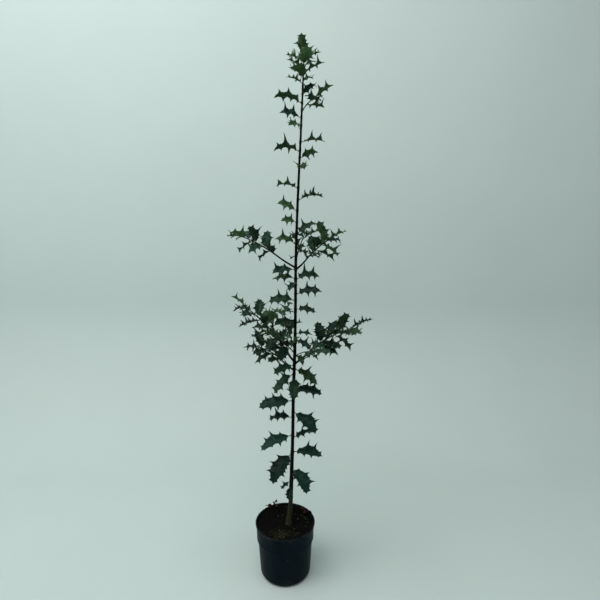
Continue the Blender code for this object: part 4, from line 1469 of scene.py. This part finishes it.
@functools.cache
def dressed_leaves():
    """Every leaf by piece: {piece: (nodes that it stands for, [(leaf, seed, age)])}."""
    on_trunk, in_sprays, tufts = plan()
    pieces = {}
    chance = random.Random(AGE_SEED)
    for number, leaf in on_trunk.items():
        height = (leaf.base.z - POT_HEIGHT) / CM
        name = next(label for top, label in TRUNK_PIECES if height < top)
        nodes, leaves = pieces.setdefault(name, ([], []))
        nodes.append(f"trunk_leaf_{number:02d}")
        age = leaf_age(leaf, chance, False)
        age = "mature" if number in OLD_TRUNK_LEAVES else age
        leaves.append((held_out(leaf, number), number, age))
    for spray in SPRAYS:
        leaves = []
        held = in_sprays[spray.name]
        for number, leaf in enumerate(held):
            seed = spray.seed * SPRAY_SEEDS + number
            tip = number >= spray.leaves - TIP_LEAVES and spray.root > TIPS_ABOVE
            age = leaf_age(leaf, chance, tip)
            old = number % OLD_EVERY == 1 and TIPS_ABOVE < spray.root < YOUNG_ABOVE - 1
            leaves.append((held_out(leaf, seed), seed, "mature" if old else age))
        for number, leaf in enumerate(tufts[spray.name]):
            seed = spray.seed * SPRAY_SEEDS + TUFT_SEEDS + number
            leaves.append((held_out(leaf, seed), seed, "young"))
        pieces[f"leaves_{spray.name}"] = ([f"foliage_{spray.name}"], leaves)
    return pieces


def all_leaves():
    return [entry for _, leaves in dressed_leaves().values() for entry in leaves]


def rib_limb(leaf):
    """The stalk and midrib of a leaf, as a limb that lies half in the blade."""
    shares = np.linspace(RIB_FOOT, RIB_TIP, RIB_POINTS)
    middle, _, _, above = along_leaf(leaf, shares)
    size = min(max(leaf.length / LARGE_LEAF, RIB_SIZES[0]), RIB_SIZES[1])
    radii = np.interp(shares, *zip(*RIB_RADII)) * size * MM
    line = middle - above * (radii - RIB_PROUD)[:, None] * np.clip(shares / PETIOLE, 0, 1)[:, None]
    return [Vector(p) for p in line], list(radii)


def spine_points(leaf, seed):
    """Foot, aim and length of the horny tip of every spine."""
    spines = fine_spines(leaf.length)
    u = np.arange(spines, dtype=float)
    found = []
    for side in (-1, 1):
        ends, _, _ = fine_blade(leaf, seed, u, side)
        inner, _, _ = fine_blade(leaf, seed, u, side * SPINE_BACK)
        found += zip(ends, ends - inner)
    middle, forward, _, _ = along_leaf(leaf, 1.0)
    found.append((middle, forward))
    size = SPINE_LENGTH * min(leaf.length / LARGE_LEAF, 1.0) ** 0.5
    return [(foot - aim / np.linalg.norm(aim) * size * SPINE_SUNK, aim, size) for foot, aim in found]


# Pot and compost


def lathe(name, profile, sides, materials):
    """Spins an outline of (radius, height) round the Z axis into one closed mesh."""
    work = bmesh.new()
    line = [work.verts.new((r, 0, z)) for r, z in profile]
    edges = [work.edges.new(pair) for pair in zip(line, line[1:])]
    bmesh.ops.spin(work, geom=line + edges, cent=(0, 0, 0), axis=(0, 0, 1),
                   angle=math.tau, steps=sides)
    bmesh.ops.remove_doubles(work, verts=work.verts, dist=1e-6)
    bmesh.ops.recalc_face_normals(work, faces=work.faces)
    obj = new_object(name, [], materials=materials)
    work.to_mesh(obj.data)
    work.free()
    obj.data.shade_smooth()
    return obj


def rounded(corners):
    """An outline with each corner (radius, height, rounding) turned into a short arc."""
    outline = []
    for i, (x, z, rounding) in enumerate(corners):
        corner = Vector((x, z))
        if not rounding or i in (0, len(corners) - 1):
            outline.append((x, z))
            continue
        before = Vector(corners[i - 1][:2]) - corner
        after = Vector(corners[i + 1][:2]) - corner
        reach = min(rounding, before.length * ARC_LIMIT, after.length * ARC_LIMIT)
        start, end = corner + before.normalized() * reach, corner + after.normalized() * reach
        for k in range(ARC_STEPS + 1):
            t = k / ARC_STEPS
            outline.append(tuple(start.lerp(corner, t).lerp(corner.lerp(end, t), t)))
    return outline


def pot_outline():
    """The pot's section: base, body, stacking step, collar and rolled rim, then the inner wall."""
    collar = POT_HEIGHT - COLLAR_HEIGHT
    lip = POT_HEIGHT - RIM_ROLL
    outer = [
        (0, BASE_DISH, 0), (BASE_RADIUS - 0.006, BASE_DISH, 0.0008),
        (BASE_RADIUS - 0.005, 0, 0.0008), (BASE_RADIUS, 0, 0.0015),
        (BODY_FOOT_RADIUS, BASE_ROUND, 0.005), (BODY_TOP_RADIUS, collar - 0.0022, 0.001),
        (COLLAR_FOOT_RADIUS + 0.0002, collar, 0.0009),
        (COLLAR_FOOT_RADIUS + 0.0004, collar + 0.0022, 0.0006),
        (COLLAR_FOOT_RADIUS + 0.0001, collar + 0.0030, 0.0005),
        (RIM_RADIUS - 0.0021, lip - 0.0006, 0.0005), (RIM_RADIUS - 0.0002, lip + 0.0003, 0.0009),
        (RIM_RADIUS, POT_HEIGHT - 0.0008, 0.0008), (RIM_RADIUS - 0.0008, POT_HEIGHT, 0.0008),
        (RIM_RADIUS - RIM_ROLL + 0.0004, POT_HEIGHT, 0.0006),
    ]
    inner = [
        (RIM_RADIUS - RIM_ROLL, lip, 0.0008),
        *((r, z, 0.0006) for r, z in inner_wall(0.0)), (0, FLOOR, 0),
    ]
    return rounded(outer + inner)


def inner_wall(gap):
    """The pot's inner wall below the rim, down to the edge of its floor, drawn in by a gap."""
    collar = POT_HEIGHT - COLLAR_HEIGHT
    return [
        (r - WALL - gap, z) for r, z in (
            (COLLAR_FOOT_RADIUS, collar + 0.001), (BODY_TOP_RADIUS, collar - 0.002 - gap),
            (BODY_FOOT_RADIUS, BASE_ROUND + 0.001 + gap),
            (BODY_FOOT_RADIUS - BASE_ROUND * 0.35, BASE_ROUND * 0.5 + gap * 2),
            (BASE_RADIUS + 0.0006, FLOOR + gap),
        )
    ]


def cut_drains(pot):
    """Opens the drain holes in the pot's floor."""
    work = bmesh.new()
    for x, y in circle(DRAIN_CIRCLE, DRAIN_HOLES, DRAIN_START):
        made = bmesh.ops.create_cone(work, cap_ends=True, segments=DRAIN_SIDES,
                                     radius1=DRAIN_RADIUS, radius2=DRAIN_RADIUS, depth=DRAIN_DEPTH)
        bmesh.ops.translate(work, verts=made["verts"], vec=(x, y, 0))
    cutter = new_object("drain_cutter", [])
    work.to_mesh(cutter.data)
    work.free()
    modifier = pot.modifiers.new("drains", "BOOLEAN")
    modifier.operation = "DIFFERENCE"
    modifier.object = cutter
    keep_result(pot)
    bpy.data.objects.remove(cutter)
    pot.data.shade_smooth()
    pot.data.set_sharp_from_angle(angle=math.radians(SHARP_EDGE))


def lump(x, y):
    """Rise of the compost at a place: level round the trunk, uneven towards the wall."""
    radius, angle = math.hypot(x, y), math.atan2(y, x)
    if radius < COMPOST_FLAT:
        return 0.0
    swing = sum(size * math.cos(waves * angle + shift) for waves, shift, size in LUMP_WAVES)
    return LUMP_HEIGHT * swing * min((radius - COMPOST_FLAT) / LUMP_EASE, 1.0)


def ground_at(x, y):
    """Height of the compost's surface with its clods."""
    fine = noise.fractal(Vector((x, y, 0.0)) * CLOD_SCALE, *CLOD_GRAIN)
    return COMPOST_TOP + lump(x, y) + CLOD_HEIGHT * fine


def compost_mesh(materials):
    """The compost as one closed body that fills the pot, with a rough top."""
    skirt = [p for p in inner_wall(GAP) if p[1] < COMPOST_TOP - SKIRT_DROP]
    profile = sorted((z, r) for r, z in inner_wall(GAP) + [(RIM_RADIUS - RIM_ROLL - GAP, POT_HEIGHT)])
    edge = between(profile, COMPOST_TOP + LUMP_HEIGHT)
    points = [(0.0, 0.0, ground_at(0.0, 0.0))]
    for ring in range(1, COMPOST_RINGS + 1):
        radius = edge * (ring / COMPOST_RINGS) ** RING_SPREAD
        points += [(x, y, ground_at(x, y)) for x, y in circle(radius, COMPOST_SIDES)]
    for radius, height in skirt:
        points += [(x, y, height) for x, y in circle(radius, COMPOST_SIDES)]
    last = len(points)
    foot = last - COMPOST_SIDES
    points.append((0.0, 0.0, skirt[-1][1]))
    pairs = [(k, (k + 1) % COMPOST_SIDES) for k in range(COMPOST_SIDES)]
    faces = [(0, 1 + k, 1 + n) for k, n in pairs]
    faces += ring_faces(COMPOST_RINGS + len(skirt), COMPOST_SIDES, 1)
    faces += [(last, foot + n, foot + k) for k, n in pairs]
    return new_object("compost_fill", points, faces, materials=materials, smooth=True)


def ground_patch(name, share):
    """The top of the compost as a sheet with a share at each point, to strew things on."""
    reach = range(-STREW_REACH, STREW_REACH + 1)
    side = len(reach)
    places = [(i * STREW_STEP, j * STREW_STEP) for j in reach for i in reach]
    points = [(x, y, ground_at(x, y)) for x, y in places]
    corners = [j * side + i for j in range(side - 1) for i in range(side - 1)]
    faces = [(a, a + 1, a + side + 1, a + side) for a in corners]
    faces = [face for face in faces if max(math.hypot(*places[k]) for k in face) < STREW_RADIUS]
    return new_object(name, points, faces, values={"share": [share(x, y) for x, y in places]})


def moss_share(x, y):
    """1 in the middle of the moss, falling off outside it."""
    off = math.hypot((x - MOSS_PLACE[0]) / MOSS_PLACE[2], (y - MOSS_PLACE[1]) / MOSS_PLACE[3])
    return math.exp(-off ** 2)


def bare_share(x, y):
    """Crumbs lie everywhere but on the moss and against the trunk."""
    foot = math.hypot(x - TRUNK_LINE[0][1] * CM, y)
    return (1 - moss_share(x, y)) * min(max((foot - TRUNK_CLEAR) / TRUNK_EASE, 0.0), 1.0)


def dead_leaf(low, high, chance):
    """A dry leaf that curls up, lying on the compost or against the rim, between two headings."""
    angle = math.radians(chance.uniform(low, high))
    radius = chance.uniform(*LITTER_RADII)
    x, y = radius * math.cos(angle), radius * math.sin(angle)
    base = Vector((x, y, ground_at(x, y) + chance.uniform(*LITTER_LIFT)))
    return Leaf(
        base, chance.uniform(0, 360), chance.uniform(*LITTER_RISES), chance.uniform(*LITTER_ARCHES),
        chance.uniform(-LITTER_ROLL, LITTER_ROLL), chance.uniform(*LITTER_LENGTHS), LITTER_SWAY,
        chance.uniform(-LITTER_TWIST, LITTER_TWIST))


def weed_blades(chance):
    """Small weeds: each a few soft leaves from one point, as leaves to be meshed."""
    found = []
    for x, y in WEED_PLACES:
        base = Vector((x, y, ground_at(x, y) - WEED_SUNK))
        for i in range(WEED_LEAVES):
            heading = GOLDEN_TURN * i + chance.uniform(-WEED_TURN, WEED_TURN)
            rise, arch = chance.uniform(*WEED_RISES), chance.uniform(*WEED_ARCHES)
            found.append(Leaf(base, heading, rise, arch, 0.0, chance.uniform(*WEED_LENGTHS)))
    return found


def plain_blade(leaf, width, thickness):
    """Points and faces of a small smooth-edged leaf, closed."""
    shares = np.linspace(0, 1, PLAIN_ROWS)
    v = np.array(PLAIN_COLUMNS)
    middle, _, side, above = along_leaf(leaf, shares[:, None] * np.ones_like(v))
    half = width * leaf.length * np.sin(np.pi * np.clip(shares, *PLAIN_ENDS) ** PLAIN_BROADEST)
    cup = PLAIN_CUP * half[:, None] * np.abs(v) ** 2
    base = middle + side * (half[:, None] * v)[..., None] + above * cup[..., None]
    thick = thickness / 2 * (1 - np.abs(v) ** 4)[None, :, None]
    lower = (base - above * thick)[:, -2:0:-1]
    return closed_rings(np.concatenate((base + above * thick, lower), axis=1))


# What is strewn: its piece, where, how many for each crumb, least and most size, flatness, seed
STREWN = (
    ("compost_crumbs", bare_share, 1.0, 0.0005, 0.0020, 0.8, 5),
    ("compost_chips", bare_share, 0.025, 0.0012, 0.0036, 0.3, 8),
    ("compost_grit", bare_share, 0.018, 0.0004, 0.0010, 0.8, 3),
    ("moss", moss_share, 1.6, 0.0004, 0.0010, 0.9, 12),
)


# Operators


class HollyOperator:
    """What the operators share."""

    bl_options = {"REGISTER", "UNDO"}

    def settings(self, context):
        return context.scene.holly


class HOLLY_OT_bark(HollyOperator, bpy.types.Operator):
    """Make the trunk and the main boughs with the relief of their bark"""

    bl_idname = "holly.bark"
    bl_label = "Trunk and Boughs"

    def execute(self, context):
        bark = self.settings(context).bark
        tree, finish = limb_tree(), bark_material(bark)
        trunk = limb_lines("bark_trunk", [trunk_limb()])
        grow(trunk, tree, sides=bark.sides, wrinkle=bark.wrinkle, wrinkle_scale=420.0,
             stretch=0.3, material=finish)
        wear(trunk, ["trunk"])
        for spray in SPRAYS:
            limb, _ = spray_limbs(spray, ())
            if limb:
                bough = limb_lines(f"bark_bough_{spray.name}", [limb])
                grow(bough, tree, sides=16, wrinkle=bark.wrinkle / 2, wrinkle_scale=500.0,
                     stretch=0.8, material=finish)
                wear(bough, [f"bough_{spray.name}"])
        return {"FINISHED"}


class HOLLY_OT_twigs(HollyOperator, bpy.types.Operator):
    """Make the leafy stems of the masses of foliage, with a bud at each leaf"""

    bl_idname = "holly.twigs"
    bl_label = "Twigs and Buds"

    def execute(self, context):
        bark = self.settings(context).bark
        finish = toned_material("holly_twig", shade(bark.shoot_colour, 0.9), bark.stem_colour,
                                240.0, relief=0.00012)
        _, in_sprays, _ = plan()
        limbs = []
        for spray in SPRAYS:
            limbs += spray_limbs(spray, in_sprays[spray.name])[1]
        twigs = limb_lines("twigs", limbs)
        grow(twigs, limb_tree(), sides=10, wrinkle=0.0001, wrinkle_scale=700.0, stretch=1.0,
             material=finish)
        wear(twigs)
        points, aims, sizes = [], [], []
        for leaf, _, _ in all_leaves():
            middle, forward, _, above = (Vector(a) for a in along_leaf(leaf, BUD_SHARE))
            points.append(middle + above * BUD_LIFT)
            aims.append(forward * BUD_LEAN + above)
            sizes.append(BUD_SIZE)
        for line, _ in limbs:
            points.append(line[-1])
            aims.append(line[-1] - line[-2])
            sizes.append(END_BUD_SIZE)
        buds = new_object("buds", points, values={"aim": aims, "size": sizes})
        finish = toned_material("holly_bud", *BUD_TONES, 500.0)
        grow(buds, aimed_tree("holly_buds", bud), width=BUD_WIDTH, material=finish)
        wear(buds)
        return {"FINISHED"}


class HOLLY_OT_leaves(HollyOperator, bpy.types.Operator):
    """Make the spiny leaves, in one piece for each mass of foliage"""

    bl_idname = "holly.leaves"
    bl_label = "Leaves"

    def execute(self, context):
        leaves = self.settings(context).leaves
        materials = leaf_materials(leaves)
        for name, (nodes, held) in dressed_leaves().items():
            if not held:
                raise RuntimeError(f"{name} has no leaves")
            piece = leaf_piece(name, held, materials, leaves.thickness)
            wear(piece, nodes)
        return {"FINISHED"}


class HOLLY_OT_ribs(HollyOperator, bpy.types.Operator):
    """Make the stalks and midribs, and the horny tip of every spine"""

    bl_idname = "holly.ribs"
    bl_label = "Stalks, Midribs and Spines"

    def execute(self, context):
        leaves = self.settings(context).leaves
        finish = toned_material("holly_rib", leaves.rib_colour, shade(leaves.rib_colour, 0.5), 150.0)
        ribs = limb_lines("leaf_ribs", [rib_limb(leaf) for leaf, _, _ in all_leaves()])
        grow(ribs, limb_tree(), sides=6, wrinkle=0.0, wrinkle_scale=300.0, stretch=1.0,
             material=finish)
        wear(ribs)
        tips = [tip for leaf, seed, _ in all_leaves() for tip in spine_points(leaf, seed)]
        points, aims, sizes = zip(*tips)
        spines = new_object("leaf_spines", points, values={"aim": aims, "size": sizes})
        finish = toned_material("holly_spine", leaves.spine_colour,
                                shade(leaves.spine_colour, 0.6), 300.0)
        grow(spines, aimed_tree("holly_spines", needle), width=SPINE_SLIM, material=finish)
        wear(spines)
        return {"FINISHED"}


class HOLLY_OT_pot(HollyOperator, bpy.types.Operator):
    """Make the nursery pot with its stacking collar, rolled rim and drain holes"""

    bl_idname = "holly.pot"
    bl_label = "Pot"

    def execute(self, context):
        pot = self.settings(context).pot
        shell = lathe("pot_shell", pot_outline(), pot.sides, [pot_material(pot)])
        cut_drains(shell)
        wear(shell, ["pot"])
        return {"FINISHED"}


class HOLLY_OT_compost(HollyOperator, bpy.types.Operator):
    """Make the compost and what lies and grows on it"""

    bl_idname = "holly.compost"
    bl_label = "Compost, Moss and Litter"

    def execute(self, context):
        look = self.settings(context).compost
        soil = toned_material("compost_soil", look.light, look.dark, 240.0, (0.8, 1.0),
                              relief=0.0008, shine=0.02)
        wear(compost_mesh([soil]), ["compost"])
        chip = toned_material("compost_chip", look.chip, shade(look.chip, 0.4), 300.0, (0.7, 0.9))
        grit = toned_material("compost_grit", look.grit, shade(look.grit, 0.6), 400.0, (0.6, 0.9))
        moss = toned_material("moss", look.moss, shade(look.moss, 0.35), 500.0, (0.8, 1.0))
        tree = crumb_tree()
        for row, finish in zip(STREWN, (soil, chip, grit, moss)):
            name, share, count, least, most, flatness, seed = row
            piece = grow(ground_patch(name, share), tree, density=look.crumbs * count, least=least,
                         most=most, flatness=flatness, seed=seed, material=finish)
            wear(piece)
        chance = random.Random(LITTER_SEED)
        curled = [plain_blade(dead_leaf(low, high, chance), LITTER_WIDTH, LITTER_THICKNESS)
                  for low, high, count in LITTER_ARCS for _ in range(count)]
        dry = toned_material("dead_leaf", look.litter, shade(look.litter, 0.4), 180.0, (0.6, 0.8))
        wear(joined("dead_leaves", curled, [dry]))
        weeds = [plain_blade(leaf, WEED_WIDTH, WEED_THICKNESS) for leaf in weed_blades(chance)]
        green = toned_material("weed_leaf", look.weed, WEED_SHADE, 260.0)
        wear(joined("weeds", weeds, [green]))
        return {"FINISHED"}


class HOLLY_OT_stage(HollyOperator, bpy.types.Operator):
    """Make the camera, the pale floor with its curved backdrop, and the soft lights"""

    bl_idname = "holly.stage"
    bl_label = "Camera, Floor and Light"

    def execute(self, context):
        look = self.settings(context).stage
        camera = bpy.data.objects.new("camera", bpy.data.cameras.new("camera"))
        camera.data.lens = look.lens
        camera.data.sensor_width = 36.0
        camera.location = look.camera
        camera.rotation_euler = (math.pi / 2 - look.tilt, 0, 0)
        context.scene.collection.objects.link(camera)
        context.scene.camera = camera
        context.scene.view_settings.view_transform = "Standard"
        self.backdrop(look)
        for name, share, size, place_at, aim in LIGHTS:
            self.light(name, look.overhead * share, size, place_at, aim)
        context.scene.world = self.room(look)
        return {"FINISHED"}

    def room(self, look):
        """Even light from all round, and the pale tone that shows past the floor."""
        world = bpy.data.worlds.new("room")
        world.use_nodes = True
        tree = world.node_tree
        sky = tree.nodes["Background"]
        put(tree, sky, {"Color": SKY_COLOUR, "Strength": look.sky})
        seen = add(tree, "ShaderNodeBackground", look.room)
        ray = add(tree, "ShaderNodeLightPath", out="Is Camera Ray")
        both = add(tree, "ShaderNodeMixShader", ray, sky.outputs["Background"], seen)
        put(tree, tree.nodes["World Output"], {"Surface": both})
        return world

    def backdrop(self, look):
        """Round floor, and a sheet that sweeps up from it behind the plant."""
        line = []
        for k in range(SWEEP_STEPS + 1):
            angle = math.pi / 2 * k / SWEEP_STEPS
            line.append((SHEET_BACK - SWEEP * (1 - math.sin(angle)),
                         SHEET_FOOT + SWEEP * (1 - math.cos(angle))))
        line.append((SHEET_BACK, SHEET_TOP))
        points = [(x, y, z) for y, z in line for x in (-SHEET_SIDE, SHEET_SIDE)]
        faces = [(2 * k, 2 * k + 1, 2 * k + 3, 2 * k + 2) for k in range(len(line) - 1)]
        faces.append([len(points) + k for k in range(FLOOR_SIDES)])
        points += [(x, y, 0.0) for x, y in circle(FLOOR_RADIUS, FLOOR_SIDES)]
        return new_object("backdrop", points, faces, materials=[self.studio(look)], smooth=True)

    def studio(self, look):
        """Pale finish that fades out far from the plant, and is clear from behind."""
        finish = toned_material("studio", shade(look.floor, 1.015), shade(look.floor, 0.985),
                                3.0, (0.75, 0.9))
        tree = finish.node_tree
        level = stretched(tree, own_places(tree), (1.0, 1.0, 0.0))
        away = add(tree, "ShaderNodeVectorMath", level, operation="LENGTH", out="Value")
        fade = ranged(tree, away, *FADE, interpolation_type="SMOOTHSTEP")
        far = calc(tree, "MULTIPLY", fade, add(tree, "ShaderNodeLightPath", out="Is Camera Ray"))
        clear = calc(tree, "MAXIMUM", far, add(tree, "ShaderNodeNewGeometry", out="Backfacing"))
        shown = add(tree, "ShaderNodeMixShader", clear, tree.nodes["Principled BSDF"].outputs["BSDF"],
                    add(tree, "ShaderNodeBsdfTransparent"))
        put(tree, tree.nodes["Material Output"], {"Surface": shown})
        return finish

    def light(self, name, power, size, place_at, aim):
        lamp = bpy.data.lights.new(name, "AREA")
        lamp.shape = "RECTANGLE"
        lamp.size, lamp.size_y = size
        lamp.energy = power
        obj = bpy.data.objects.new(name, lamp)
        obj.location = place_at
        way = Vector(aim) - Vector(place_at)
        obj.rotation_euler = way.to_track_quat("-Z", "Y").to_euler()
        obj.visible_camera = False
        bpy.context.scene.collection.objects.link(obj)


class HOLLY_PT_panel(bpy.types.Panel):
    """The settings of the holly and a button for each of its pieces"""

    bl_idname = "HOLLY_PT_panel"
    bl_label = "Holly"
    bl_space_type = "VIEW_3D"
    bl_region_type = "UI"
    bl_category = "Holly"

    def draw(self, context):
        for group, operators in PANEL_ROWS:
            box = self.layout.box()
            values = getattr(context.scene.holly, group)
            for key in values.__annotations__:
                box.prop(values, key)
            for operator in operators:
                box.operator(operator)


PANEL_ROWS = (
    ("bark", ("holly.bark", "holly.twigs")), ("leaves", ("holly.leaves", "holly.ribs")),
    ("pot", ("holly.pot",)), ("compost", ("holly.compost",)), ("stage", ("holly.stage",)),
)
CLASSES = (
    LeafSettings, BarkSettings, PotSettings, CompostSettings, StageSettings, HollySettings,
    HOLLY_OT_bark, HOLLY_OT_twigs, HOLLY_OT_leaves, HOLLY_OT_ribs, HOLLY_OT_pot,
    HOLLY_OT_compost, HOLLY_OT_stage, HOLLY_PT_panel,
)


def register():
    for kind in CLASSES:
        bpy.utils.register_class(kind)
    bpy.types.Scene.holly = PointerProperty(type=HollySettings)


def unregister():
    del bpy.types.Scene.holly
    for kind in reversed(CLASSES):
        bpy.utils.unregister_class(kind)


def main():
    register()
    bpy.ops.holly.stage()
    bpy.ops.holly.pot()
    bpy.ops.holly.compost()
    bpy.ops.holly.bark()
    bpy.ops.holly.twigs()
    bpy.ops.holly.leaves()
    bpy.ops.holly.ribs()


if __name__ == "__main__":
    main()
